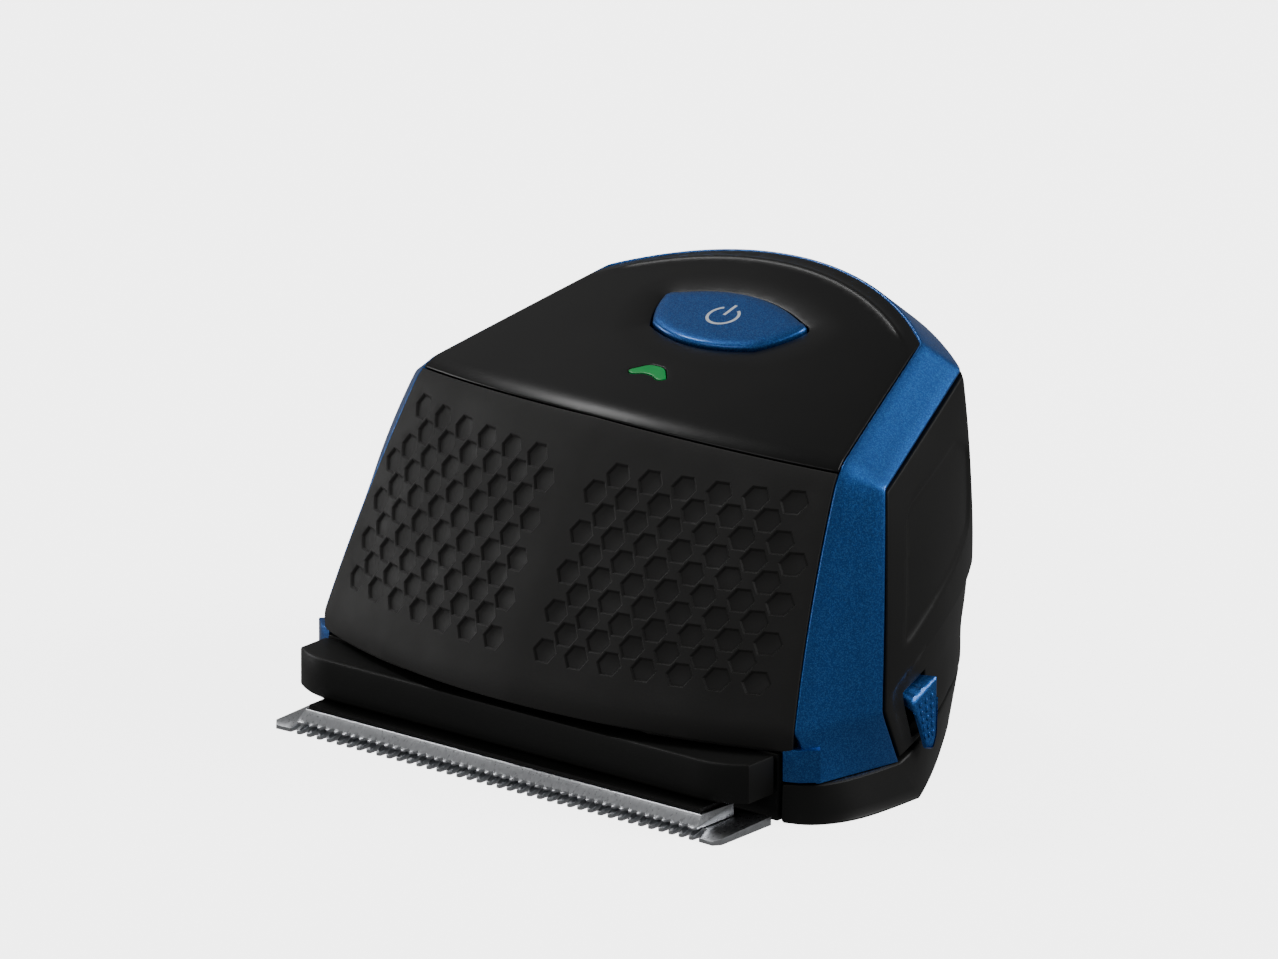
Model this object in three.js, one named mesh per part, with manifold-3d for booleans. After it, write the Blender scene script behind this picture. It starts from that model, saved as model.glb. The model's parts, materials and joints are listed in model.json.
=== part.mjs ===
// A palm-held cordless hair clipper with a wide blade head, as an assembly of separate pieces.
// Millimetres, +Z up. The clipper stands on its flat base: X runs along the blades, -Y is the
// blade side, and the body's plane of symmetry is X = 0.
import * as THREE from "three";
import { mergeVertices } from "three/addons/utils/BufferGeometryUtils.js";
import Module from "manifold-3d";

const wasm = await Module();
wasm.setup();

// ---- driving dimensions --------------------------------------------------------------------
const gap = 0.15; // each panel stops this far short of its seam, so a seam is twice as wide
const wall = 2; // thickness of the moulded shells

const bladeTipY = -3.9; // the foremost point of the clipper

const grip = { radius: 80, foot: -7.85, lean: 0.551, bow: 1.1, lowZ: 11.1, halfWidth: 40.3 };
const roof = { ridgeY: 17.8, ridgeZ: 46.5, slope: 0.24, crown: 165, ridgeHalf: 35.2, backHalf: 26.5 };
const roofBack = { y: 61.5, radius: 44.7 }; // the arc that ends the roof at the back
const ridgeRound = 0.07; // share of the front and of the roof that the rounded ridge takes
const ridgeSeam = 0.985; // where grip and cover meet, just below the ridge

const foldInner = new THREE.Vector3(40.1, 9.7, 12.3); // where the blue frame folds under
const foldOuter = new THREE.Vector3(45.5, 21.5, 13.4);
const footInner = new THREE.Vector3(42.3, 11.4, 5.6); // its lower end, on the base seam
const footOuter = new THREE.Vector3(45, 25.5, 5.6);
const shoulder = new THREE.Vector3(40, 28.8, 41.2); // its outer corner beside the ridge
const backCorner = new THREE.Vector3(31, 56.1, 48.9);
const backOuter = { y: 65.5, z: 53.2, radius: 55.8, fall: 4.3 };

const tab = { innerX: 38.6, y: 8.9, topZ: 10.3 }; // the frame's front tabs, beside the head
const seam = { frontZ: 5.6, backZ: 9.4, rise: 0.325 }; // the seam between base and rear housing

const head = { half: 38.1, nose: 32.5, chamfer: 2.8, lowZ: 4.2, topZ: 9.65, backY: 7.6 };
const blade = { fixedHalf: 37.9, fixedTop: 1.2, movingHalf: 34, movingTop: 3 };
const teeth = { fixedPitch: 1.71, fixedGap: 0.8, movingPitch: 1.43, movingGap: 0.62 };

const shaftTilt = THREE.MathUtils.degToRad(20); // the motor shaft points down towards the head
const pinPoint = new THREE.Vector3(0, 6.6, 7.2); // middle of the drive fork, on the shaft's axis
const throwRadius = 1.1; // eccentricity, half of the cutter's stroke
const hookX = [-35, 35]; // the head's rear hooks
const bladeScrewX = [-28, 28]; // the screws that hold the fixed blade under the head
const screwY = 6.1;

const button = { y: 43.8, half: 11.9, lift: 0.2 };
const lamp = { y: 29, half: 3.3 };

// ---- materials -----------------------------------------------------------------------------
const finish = (color, roughness, metalness) =>
  new THREE.MeshStandardMaterial({ color, roughness, metalness });
const blackPlastic = finish(0x1d1d1b, 0.45, 0);
const satinBlack = finish(0x171716, 0.35, 0);
const softGrip = finish(0x232221, 0.75, 0);
const blueLacquer = finish(0x1b4f8c, 0.35, 0.6);
const steel = finish(0xa7a8ab, 0.3, 1);
const darkPlastic = finish(0x2b2c2e, 0.6, 0);
const greenLens = finish(0x12a150, 0.3, 0);
const whiteResin = finish(0xe3e2da, 0.5, 0);
const copper = finish(0xb87333, 0.35, 1);
const boardGreen = finish(0x1f5a35, 0.5, 0);
const cellWrap = finish(0x2f7d4f, 0.4, 0);

// ---- solids --------------------------------------------------------------------------------
const vec = (x, y, z) => new THREE.Vector3(x, y, z);
const mix = (a, b, t) => a + (b - a) * t;

// A closed geometry as a manifold-3d solid.
function solid(geometry) {
  const flat = geometry.index ? geometry.toNonIndexed() : geometry;
  const bare = new THREE.BufferGeometry().setAttribute("position", flat.getAttribute("position"));
  const merged = mergeVertices(bare, 1e-4);
  return new wasm.Manifold(
    new wasm.Mesh({
      numProp: 3,
      vertProperties: merged.attributes.position.array,
      triVerts: new Uint32Array(merged.index.array),
    }),
  );
}

// A manifold-3d solid as a geometry.
function geometryOf(made) {
  const mesh = made.getMesh();
  const geometry = new THREE.BufferGeometry();
  geometry.setAttribute("position", new THREE.BufferAttribute(mesh.vertProperties, 3));
  geometry.setIndex(new THREE.BufferAttribute(mesh.triVerts, 1));
  geometry.computeVertexNormals();
  return geometry;
}

// A box between two corners.
function block(x0, x1, y0, y1, z0, z1) {
  const box = new THREE.BoxGeometry(x1 - x0, y1 - y0, z1 - z0);
  return solid(box.translate((x0 + x1) / 2, (y0 + y1) / 2, (z0 + z1) / 2));
}

// A round bar between two points.
function rod(radius, from, to, sides = 20) {
  const along = to.clone().sub(from);
  const bar = new THREE.CylinderGeometry(radius, radius, along.length(), sides);
  const turn = new THREE.Quaternion().setFromUnitVectors(vec(0, 1, 0), along.normalize());
  bar.applyQuaternion(turn);
  const middle = from.clone().add(to).multiplyScalar(0.5);
  return solid(bar.translate(middle.x, middle.y, middle.z));
}

// An upright prism on an outline of [x, y] points, from z0 to z1.
function prism(outline, z0, z1) {
  const shape = new THREE.Shape(outline.map(([x, y]) => new THREE.Vector2(x, y)));
  const made = new THREE.ExtrudeGeometry(shape, { depth: z1 - z0, bevelEnabled: false });
  return solid(made.translate(0, 0, z0));
}

// A closed solid between two grids of points of the same size, the first one facing out.
function between(outer, inner) {
  const columns = outer.length;
  const rows = outer[0].length;
  const corners = [];
  const quad = (a, b, c, d) => corners.push(a, b, c, a, c, d);
  for (let i = 0; i < columns - 1; i++) {
    for (let j = 0; j < rows - 1; j++) {
      quad(outer[i][j], outer[i + 1][j], outer[i + 1][j + 1], outer[i][j + 1]);
      quad(inner[i][j], inner[i][j + 1], inner[i + 1][j + 1], inner[i + 1][j]);
    }
    quad(inner[i][0], inner[i + 1][0], outer[i + 1][0], outer[i][0]);
    quad(outer[i][rows - 1], outer[i + 1][rows - 1], inner[i + 1][rows - 1], inner[i][rows - 1]);
  }
  for (let j = 0; j < rows - 1; j++) {
    quad(outer[0][j], outer[0][j + 1], inner[0][j + 1], inner[0][j]);
    const last = columns - 1;
    quad(inner[last][j], inner[last][j + 1], outer[last][j + 1], outer[last][j]);
  }
  const geometry = new THREE.BufferGeometry().setFromPoints(corners);
  const made = solid(geometry);
  return made.volume() < 0 ? solid(flipped(geometry)) : made;
}

function flipped(geometry) {
  const points = geometry.getAttribute("position");
  const turned = new Float32Array(points.array);
  for (let i = 0; i < points.count; i += 3) {
    turned.set(points.array.slice(3 * i + 3, 3 * i + 6), 3 * i + 6);
    turned.set(points.array.slice(3 * i + 6, 3 * i + 9), 3 * i + 3);
  }
  return new THREE.BufferGeometry().setAttribute("position", new THREE.BufferAttribute(turned, 3));
}

// The point under the skin of the body, a given depth below an outer point. Every panel uses it,
// so neighbouring panels meet on one mitre.
function below(point, depth = wall) {
  const core = vec(0, 34, 24);
  const reachZ = point.z < core.z ? 50 : 30;
  const out = vec(
    point.x / 45 ** 2,
    (point.y - core.y) / 33 ** 2,
    (point.z - core.z) / reachZ ** 2,
  ).normalize();
  return point.clone().addScaledVector(out, -depth);
}

// A moulded panel over surface(u, v), which gives outer points for u and v from 0 to 1.
function panel(surface, columns, rows, depth = wall) {
  const outer = [];
  for (let i = 0; i <= columns; i++) {
    outer.push([]);
    for (let j = 0; j <= rows; j++) outer[i].push(surface(i / columns, j / rows));
  }
  return between(
    outer,
    outer.map((column) => column.map((point) => below(point, depth))),
  );
}

// ---- the skin of the body ------------------------------------------------------------------
const sagitta = (radius, x) => radius - Math.sqrt(radius ** 2 - x ** 2);

// The leaning, bowed front face: its Y at a given X and height.
function frontY(x, z) {
  const middle = (grip.lowZ + roof.ridgeZ) / 2;
  const reach = (roof.ridgeZ - grip.lowZ) / 2;
  const bow = grip.bow * Math.max(0, 1 - ((z - middle) / reach) ** 2);
  return grip.foot + grip.lean * z + sagitta(grip.radius, x) - bow;
}

const roofZ = (x, y) => roof.ridgeZ + roof.slope * (y - roof.ridgeY) - x ** 2 / (2 * roof.crown);

// The sharp ridge between front and roof, for a share s of the half width, from -1 to 1.
function ridgePoint(s) {
  const x = s * roof.ridgeHalf;
  const start = grip.foot + sagitta(grip.radius, x);
  const level = roof.ridgeZ - roof.slope * roof.ridgeY - x ** 2 / (2 * roof.crown);
  const y = (start + grip.lean * level) / (1 - grip.lean * roof.slope);
  return vec(x, y, roofZ(x, y));
}

// The cover's skin along one lengthwise line: p runs 0 to 1 up the front and 1 to 2 over the roof.
function coverPoint(s, p) {
  const corner = ridgePoint(s);
  const front = (t) => {
    const z = mix(grip.lowZ - s ** 2, corner.z, t);
    const x = s * mix(grip.halfWidth, roof.ridgeHalf, t);
    return vec(x, t < 1 ? frontY(x, z) : corner.y, z);
  };
  const top = (t) => {
    const endX = s * roof.backHalf;
    const endY = roofBack.y - sagitta(roofBack.radius, endX);
    const x = mix(corner.x, endX, t);
    const y = mix(corner.y, endY, t);
    return vec(x, y, roofZ(x, y));
  };
  if (p <= 1 - ridgeRound) return front(p);
  if (p >= 1 + ridgeRound) return top(p - 1);
  const t = (p - 1 + ridgeRound) / (2 * ridgeRound);
  const curve = new THREE.QuadraticBezierCurve3(front(1 - ridgeRound), corner, top(ridgeRound));
  return curve.getPoint(t);
}

const foldShare = 0.055; // where the cover's side edge starts, at the frame's fold

// The frame's outer edge beside the cover, for the same p as coverPoint(1, p).
function frameOuter(p) {
  if (p <= 1) {
    const t = (p - foldShare) / (1 - foldShare);
    const middle = vec(44.2, 23.6, 28);
    return new THREE.QuadraticBezierCurve3(foldOuter, middle, shoulder).getPoint(t);
  }
  return shoulder.clone().lerp(backCorner, p - 1);
}

// The frame's outer edge round the back, for a share s of the half width.
function frameBack(s) {
  const x = s * backCorner.x;
  return vec(x, backOuter.y - sagitta(backOuter.radius, x), backOuter.z - backOuter.fall * s ** 2);
}

// Inner and outer edge of the blue frame at each station on its right half, from foot to back.
function frameStations() {
  const stations = [
    [footInner, footOuter],
    [foldInner, foldOuter],
  ];
  const heights = [0.2, 0.4, 0.6, 0.8, 1 - ridgeRound, 1, 1 + ridgeRound, 1.35, 1.68, 2];
  for (const p of heights) stations.push([coverPoint(1, p), frameOuter(p)]);
  for (const s of [0.8, 0.6, 0.4, 0.2, 0]) stations.push([coverPoint(s, 2), frameBack(s)]);
  return stations;
}

// Plan of the rear housing at a given height, as two Bezier curves: along the side, then round
// the back. Each row is [start, side control, corner, back control, middle of the back].
const rearPlan = {
  seam: { z: seam, points: [[45, 25.5], [44.3, 37], [33.5, 52.5], [25, 62.5], [0, 62.5]] },
  belt: {
    z: { frontZ: 27, backZ: 27 },
    points: [[43.6, 24.5], [42.5, 40], [34, 54.5], [26, 67], [0, 67]],
  },
};

function planPoint(plan, q) {
  const at = plan.points.map(([x, y]) => new THREE.Vector2(x, y));
  const side = q <= 0.5;
  const curve = side
    ? new THREE.QuadraticBezierCurve(at[0], at[1], at[2])
    : new THREE.QuadraticBezierCurve(at[2], at[3], at[4]);
  const { x, y } = curve.getPoint(side ? 2 * q : 2 * q - 1);
  return vec(x, y, mix(plan.z.frontZ, plan.z.backZ, Math.min(1, q / seam.rise)));
}

// The rear housing's skin: q runs 0 to 1 from its front edge to the middle of the back, and
// h runs 0 to 1 from the base seam up to the frame.
function rearPoint(q, h) {
  const low = planPoint(rearPlan.seam, q);
  const middle = planPoint(rearPlan.belt, q);
  const high = q <= 0.5 ? frameOuter(1 + 2 * q) : frameBack(2 - 2 * q);
  const control = middle.clone().multiplyScalar(2).addScaledVector(low, -0.5).addScaledVector(high, -0.5);
  const skin = (a, b, c) => new THREE.QuadraticBezierCurve3(a, b, c).getPoint(h);
  const point = skin(low, control, high);
  if (q >= 0.3) return point;
  const edgeLow = footOuter;
  const bend = 0.2; // height share of the fold on the front edge
  const edge = h < bend
    ? edgeLow.clone().lerp(foldOuter, h / bend)
    : frameOuter(mix(foldShare, 1, (h - bend) / (1 - bend)));
  const startControl = planPoint(rearPlan.belt, 0)
    .multiplyScalar(2)
    .addScaledVector(edgeLow, -0.5)
    .addScaledVector(shoulder, -0.5);
  const start = skin(edgeLow, startControl, shoulder);
  return point.addScaledVector(edge.sub(start), (1 - q / 0.3) ** 2);
}

// ---- shells --------------------------------------------------------------------------------
// The soft front grip, from its lower lip up to the seam just under the ridge.
function frontGrip() {
  const edge = gap / grip.halfWidth;
  return panel(
    (u, v) => coverPoint(mix(edge - 1, 1 - edge, u), mix(0.004, ridgeSeam - 0.004, v)),
    18,
    9,
  );
}

// The smooth roof with the rounded ridge, the opening for the button and the lamp's window.
function topCover() {
  const edge = gap / roof.backHalf;
  const skin = panel(
    (u, v) => {
      const p = v < 0.3
        ? mix(ridgeSeam + 0.004, 1 + ridgeRound, v / 0.3)
        : mix(1 + ridgeRound, 2 - 0.005, (v - 0.3) / 0.7);
      return coverPoint(mix(edge - 1, 1 - edge, u), p);
    },
    16,
    12,
  );
  return skin
    .subtract(onRoof(prism(buttonOutline(0.3), -8, 8), button.y))
    .subtract(onRoof(prism(lampOutline(0.3), -8, 8), lamp.y));
}

const roofTilt = Math.atan(roof.slope);

// Lays a solid made around the origin onto the roof: its Z becomes the roof's normal at Y = y.
function onRoof(made, y) {
  const place = new THREE.Matrix4().makeRotationX(roofTilt).setPosition(0, y, roofZ(0, y));
  return made.transform(place.elements);
}

// The power button seen from above, grown by a margin: two side tips, curved front and back.
function buttonOutline(margin) {
  const half = button.half + margin;
  const shape = new THREE.Shape();
  shape.moveTo(-8.6 - margin, -4 - margin);
  shape.quadraticCurveTo(0, -9.2 - margin, 8.6 + margin, -4 - margin);
  shape.quadraticCurveTo(half - 0.8, -0.8, half, 2.9);
  shape.lineTo(half - 0.9, 3.9 + margin);
  shape.quadraticCurveTo(0, 9.4 + margin, 0.9 - half, 3.9 + margin);
  shape.lineTo(-half, 2.9);
  shape.quadraticCurveTo(0.8 - half, -0.8, -8.6 - margin, -4 - margin);
  return shape.getPoints(6).slice(0, -1).map(({ x, y }) => [x, y]);
}

// The charge lamp's window, a shallow chevron that points to the back.
function lampOutline(margin) {
  const half = lamp.half + margin;
  const m = margin;
  return [
    [-half, -0.9], [0.4 - half, -1.6 - m], [-2.1 + m, -1.5 - m], [-0.7, -0.2 - m],
    [0.7, -0.2 - m], [2.1 - m, -1.5 - m], [half - 0.4, -1.6 - m], [half, -0.9],
    [1.3 + m / 2, 1.5 + m], [-1.3 - m / 2, 1.5 + m],
  ];
}

// The blue frame: one band from the left foot over the back to the right foot, with a front tab
// at each foot.
function trimFrame() {
  const right = frameStations();
  const left = right.slice(0, -1).reverse();
  const mirrored = left.map(([a, b]) => [vec(-a.x, a.y, a.z), vec(-b.x, b.y, b.z)]);
  const outer = [...right, ...mirrored].map(([inner, outside]) => {
    const margin = gap / inner.distanceTo(outside);
    return [inner.clone().lerp(outside, margin), outside.clone().lerp(inner, margin)];
  });
  outer[0].forEach((point) => (point.z += gap));
  outer.at(-1).forEach((point) => (point.z += gap));
  const band = between(outer, outer.map((pair) => pair.map((point) => below(point))));
  return band.add(frontTab(1)).add(frontTab(-1));
}

// The small upright tab between a foot of the frame and the head.
function frontTab(side) {
  const outline = [
    [side * tab.innerX, tab.y],
    [side * (footInner.x + 0.4), footInner.y + 0.3],
    [side * (footInner.x - 1.2), footInner.y + 2.2],
    [side * tab.innerX, tab.y + wall],
  ];
  return prism(side > 0 ? outline : outline.reverse(), seam.frontZ + gap, tab.topZ);
}

// The black housing that wraps the sides and the back, with the charging socket's opening.
function rearHousing() {
  const skin = panel(
    (u, v) => {
      const q = u < 0.5 ? 2 * u : 2 - 2 * u;
      const point = rearPoint(q, mix(0.012, 0.99, v));
      if (q < 0.02) point.lerp(rearPoint(q + 0.03, mix(0.012, 0.99, v)), 0.2);
      return u < 0.5 ? point : vec(-point.x, point.y, point.z);
    },
    36,
    8,
  );
  return skin
    .subtract(rod(socket.hole, vec(0, 55, socket.z), vec(0, 75, socket.z), 24))
    .subtract(sliderSlot());
}

// ---- base ----------------------------------------------------------------------------------
const socket = { z: 16, hole: 4, rim: 3.6, bore: 1.9, faceY: 64.4 };
const slider = { y: 30.6, z: 10.4, stroke: 2.5 };
const screwSpots = [[-31, 18], [31, 18], [-27, 47], [27, 47]]; // the four base screws

const baseNose = [[tab.innerX, 8.7], [42, 9.8], [44.6, 13], [46, 17.2], [46.4, 22.7], [46.5, 28]];
const rimNose = [
  [tab.innerX, 8.9], [footInner.x, footInner.y],
  [43.6, 14.4], [44.3, 17.6], [44.8, 21.5], [45, 25.5],
];
const footPlan = {
  z: { frontZ: 0, backZ: 0 },
  points: [[46.5, 28], [41.8, 37.2], [33, 50.5], [24, 60.5], [0, 60.5]],
};
const baseFrontY = 9.6; // the wall behind the head
const rimSteps = 12;

// Plan ring of the base at its foot or at its seam, as points anticlockwise from the front left.
function baseRing(nose, plan) {
  const right = nose.map(([x, y]) => vec(x, y, plan.z.frontZ));
  for (let i = 1; i < rimSteps; i++) right.push(planPoint(plan, i / rimSteps));
  const wallEnd = vec(tab.innerX, baseFrontY, plan.z.frontZ);
  const half = [wallEnd, ...right];
  const mirrored = half.map((point) => vec(-point.x, point.y, point.z)).reverse();
  return [...half, planPoint(plan, 1), ...mirrored];
}

// A solid between two rings of the same length, capped flat or with the ring's own heights.
function loft(lower, upper) {
  const contour = lower.map((point) => new THREE.Vector2(point.x, point.y));
  const caps = THREE.ShapeUtils.triangulateShape(contour, []);
  const corners = [];
  for (const [a, b, c] of caps) {
    corners.push(lower[a], lower[c], lower[b]);
    corners.push(upper[a], upper[b], upper[c]);
  }
  lower.forEach((point, i) => {
    const next = (i + 1) % lower.length;
    corners.push(point, lower[next], upper[next], point, upper[next], upper[i]);
  });
  return solid(new THREE.BufferGeometry().setFromPoints(corners));
}

const lifted = (ring, z) => ring.map((point) => vec(point.x, point.y, point.z + z));
const flatAt = (ring, z) => ring.map((point) => vec(point.x, point.y, z));

// A ring shrunk towards the middle of the base.
function inset(ring, amount) {
  const centre = vec(0, 33, 0);
  return ring.map((point) => {
    const reach = Math.hypot(point.x, point.y - centre.y);
    const keep = 1 - amount / reach;
    return vec(point.x * keep, centre.y + (point.y - centre.y) * keep, point.z);
  });
}

function bottomHousing() {
  const foot = baseRing(baseNose, footPlan);
  const rim = baseRing(rimNose, rearPlan.seam);
  const floorTop = 1.8;
  const shell = loft(foot, lifted(rim, -gap)).subtract(
    loft(flatAt(inset(foot, 2.6), floorTop), lifted(inset(rim, 2.6), 3)),
  );
  const frontWall = block(-38.2, 38.2, 8.3, 9.9, 0, tab.topZ - 0.6);
  const drivePort = block(-6, 6, 7, 12, 3.4, 12);
  let made = shell.add(frontWall).add(gripShelf());
  for (const [x, y] of screwSpots) made = made.add(rod(3.4, vec(x, y, 1), vec(x, y, 9), 14));
  for (const [x, y] of screwSpots) {
    made = made
      .subtract(rod(1.6, vec(x, y, -1), vec(x, y, 10), 16))
      .subtract(rod(2.9, vec(x, y, -1), vec(x, y, 1.5), 14));
  }
  for (const x of hookX) made = made.subtract(block(x - 2.6, x + 2.6, 7, 12, 4.1, 8.3));
  return made.subtract(drivePort).subtract(sliderSlot());
}

// The shelf that closes the underside of the front grip, with its riser behind the head.
function gripShelf() {
  const half = 29;
  const [low, high] = [12, 13.4];
  const front = [];
  for (let i = 0; i <= 10; i++) {
    const x = mix(-half, half, i / 10);
    front.push([x, frontY(x, high) + 2.7]);
  }
  const shelf = prism([...front, [half, 9.9], [-half, 9.9]], low, high);
  return shelf.add(block(-half, half, 8.5, 9.9, tab.topZ - 1.5, low + 0.5));
}

// ---- release slider ------------------------------------------------------------------------
// The slider lies on the right side, across the seam. Seen from the side it narrows downwards.
function sliderOutline(margin, extra) {
  const { y, z } = slider;
  const m = margin;
  return [
    [y - 2.6 - m, z + 3.6 + m], [y - 1.4 - m, z - 4.6 - m - extra], [y + 1.2, z - 5.2 - m - extra],
    [y + 2.4 + m, z - 3.6 - extra], [y + 2.4 + m, z + 4.8 + m],
  ];
}

// A solid that stands out sideways (along X) on an outline of [y, z] points.
function sideways(outline, x0, x1) {
  const upright = prism(outline, x0, x1);
  const turn = new THREE.Matrix4().makeBasis(vec(0, 1, 0), vec(0, 0, 1), vec(1, 0, 0));
  return upright.transform(turn.elements);
}

const sliderSlot = () => sideways(sliderOutline(0.35, slider.stroke), 38, 50);

function releaseSlider() {
  const face = loftSideways(sliderOutline(0, 0), 42.2, 45.9, 0.82);
  const stem = block(38.2, 42.6, slider.y - 0.9, slider.y + 1.1, slider.z - 3.2, slider.z + 2);
  return face.add(stem);
}

// As sideways(), with the outer end shrunk, so that the solid tapers.
function loftSideways(outline, x0, x1, keep) {
  const middle = [slider.y, slider.z];
  const ring = (x, scale) =>
    outline.map(([y, z]) => vec(x, mix(middle[0], y, scale), mix(middle[1], z, scale)));
  const lower = ring(x0, 1);
  const upper = ring(x1, keep);
  const flat = outline.map(([y, z]) => new THREE.Vector2(y, z));
  const corners = [];
  for (const [a, b, c] of THREE.ShapeUtils.triangulateShape(flat, [])) {
    corners.push(lower[a], lower[c], lower[b], upper[a], upper[b], upper[c]);
  }
  lower.forEach((point, i) => {
    const next = (i + 1) % lower.length;
    corners.push(point, lower[next], upper[next], point, upper[next], upper[i]);
  });
  return solid(new THREE.BufferGeometry().setFromPoints(corners));
}

// ---- blade head ----------------------------------------------------------------------------
// The carrier bar above the blades, with the pocket for the drive fork and two rear hooks.
function bladeHead() {
  const { half, nose, chamfer, lowZ, topZ, backY } = head;
  const bar = prism(
    [[-half, chamfer], [-nose, 0], [nose, 0], [half, chamfer], [half, backY], [-half, backY]],
    lowZ,
    topZ,
  );
  let made = bar;
  for (const x of hookX) made = made.add(block(x - 2, x + 2, backY - 0.5, 11.2, 4.6, 7.6));
  for (const x of bladeScrewX) {
    const pad = block(x - 2.5, x + 2.5, 4.9, 7.3, blade.fixedTop + 0.02, lowZ + 0.2);
    made = made.add(pad).subtract(rod(0.8, vec(x, screwY, 0), vec(x, screwY, 7.4), 12));
  }
  return made.subtract(block(-7.3, 7.3, 3.4, 9, 3, 12));
}

// Cuts the gaps between teeth into a blade, from its tips back to a root line.
function toothGaps(half, pitch, width, rootY, z0, z1) {
  const cuts = [];
  const count = Math.floor((2 * half) / pitch);
  for (let i = 0; i < count; i++) {
    const x = (i - (count - 1) / 2) * pitch;
    const tip = width * 0.62;
    cuts.push(
      prism([[x - tip, -5], [x + tip, -5], [x + width / 2, rootY], [x - width / 2, rootY]], z0, z1),
    );
  }
  return wasm.Manifold.union(cuts);
}

function stationaryBlade() {
  const { fixedHalf, fixedTop } = blade;
  const plate = prism(
    [
      [-fixedHalf, -2.9], [0.8 - fixedHalf, bladeTipY], [fixedHalf - 0.8, bladeTipY],
      [fixedHalf, -2.9], [fixedHalf, 7.4], [-fixedHalf, 7.4],
    ],
    0,
    fixedTop,
  );
  let made = plate.subtract(toothGaps(35.6, teeth.fixedPitch, teeth.fixedGap, -1.7, -1, 3));
  for (const x of bladeScrewX) {
    made = made
      .subtract(rod(0.85, vec(x, screwY, -1), vec(x, screwY, 3), 10))
      .subtract(rod(1.7, vec(x, screwY, -1), vec(x, screwY, 0.7), 12));
  }
  return made;
}

// The upper blade: a bevelled bar whose teeth stop just behind those of the fixed blade.
function movingBlade() {
  const { movingHalf, movingTop, fixedTop } = blade;
  const low = fixedTop + 0.15;
  const bar = sideways(
    [[-3.6, low], [4.4, low], [4.4, movingTop], [-2.1, movingTop], [-3.6, low + 0.5]],
    -movingHalf,
    movingHalf,
  );
  return bar.subtract(toothGaps(movingHalf - 1, teeth.movingPitch, teeth.movingGap, -2.6, 0, 5));
}

// The black strip on the moving blade, with the fork that the eccentric's pin runs in.
function cutterCarrier() {
  const low = blade.movingTop + 0.05;
  const strip = block(-33.2, 33.2, -1.7, 4.4, low, low + 0.6);
  const bridge = block(-5.6, 5.6, 3.6, 6.7, low, 4.3);
  const prongs = block(-5.6, 5.6, 4.4, 6.7, low, 8.2).subtract(block(-3.8, 3.8, 4, 7, 4.3, 9));
  return strip.add(bridge).add(prongs);
}

// ---- drive ---------------------------------------------------------------------------------
const shaftAxis = vec(0, Math.cos(shaftTilt), Math.sin(shaftTilt));
const onShaft = (distance) => pinPoint.clone().addScaledVector(shaftAxis, distance);
const motor = { radius: 9, front: 12, length: 24, capLength: 3 };

function motorCan() {
  const { radius, front, length } = motor;
  return rod(radius, onShaft(front), onShaft(front + length), 24)
    .add(rod(3, onShaft(front - 1.4), onShaft(front + 1), 24))
    .subtract(rod(1.15, onShaft(front - 3), onShaft(front + 10), 16));
}

function motorEndCap() {
  const start = motor.front + motor.length + 0.05;
  let cap = rod(motor.radius - 0.6, onShaft(start), onShaft(start + motor.capLength), 24);
  for (const x of [-5, 5]) {
    const foot = onShaft(start + motor.capLength - 0.5).setX(x);
    cap = cap.add(rod(0.6, foot, foot.clone().addScaledVector(shaftAxis, 3), 10));
  }
  return cap;
}

// The motor's shaft with the eccentric hub and its pin, one piece that turns.
function eccentricShaft() {
  const shaft = rod(1, onShaft(6), onShaft(motor.front + 9), 16);
  const hub = rod(3, onShaft(4.4), onShaft(9.4), 24);
  const from = onShaft(-1.6).add(vec(throwRadius, 0, 0));
  const to = onShaft(5).add(vec(throwRadius, 0, 0));
  return shaft.add(hub).add(rod(1.2, from, to, 16));
}

// ---- inner frame, cell and board -----------------------------------------------------------
const cell = { y: 27.5, z: 32.2, radius: 7, half: 25 };
const board = { depth: 7, thickness: 1.4, half: 20, frontY: 25, backY: 55 };
const boardScrews = [[-17, 39], [17, 39], [-17, 51.5], [17, 51.5]];
const boardTop = (y) => roofZ(0, y) - board.depth / Math.cos(roofTilt);
const boardLow = (y) => boardTop(y) - board.thickness / Math.cos(roofTilt);

function chassis() {
  const low = 9.3;
  const plate = prism([[-35, 14], [35, 14], [35, 38], [28, 54], [-28, 54], [-35, 38]], low, low + 2);
  let made = plate.subtract(block(-11.5, 11.5, 10, 47, 0, 20));
  made = made.add(block(-14, 14, 22, 24, 3, 25).add(block(-14, 14, 36, 38, 7, 30.5)));
  for (const [x, y] of screwSpots) {
    made = made.add(rod(3.2, vec(x, y, 9.15), vec(x, y, 16), 14));
  }
  for (const side of [-1, 1]) {
    made = made.add(block(side * 26 - 2.4, side * 26 + 2.4, 21, 34, low, 33));
  }
  for (const [x, y] of boardScrews) {
    made = made.add(rod(2.2, vec(x, y, low), vec(x, y, boardLow(y) - 0.7), 16));
  }
  const cellEnd = vec(cell.half + 1.2, cell.y, cell.z);
  const cellEnds = rod(cell.radius + 0.3, vec(-cellEnd.x, cellEnd.y, cellEnd.z), cellEnd, 20);
  made = made.subtract(cellEnds).subtract(rod(motor.radius + 0.35, onShaft(-4), onShaft(60), 24));
  for (const [x, y] of screwSpots) made = made.subtract(rod(1.45, vec(x, y, 5), vec(x, y, 14.5), 16));
  for (const [x, y] of boardScrews) {
    made = made.subtract(rod(0.85, vec(x, y, boardLow(y) - 7), vec(x, y, boardLow(y) + 2), 12));
  }
  return made;
}

function batteryCell() {
  const { y, z, radius, half } = cell;
  return rod(radius, vec(-half, y, z), vec(half - 1, y, z), 28)
    .add(rod(2.6, vec(half - 1.5, y, z), vec(half, y, z), 16));
}

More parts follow.
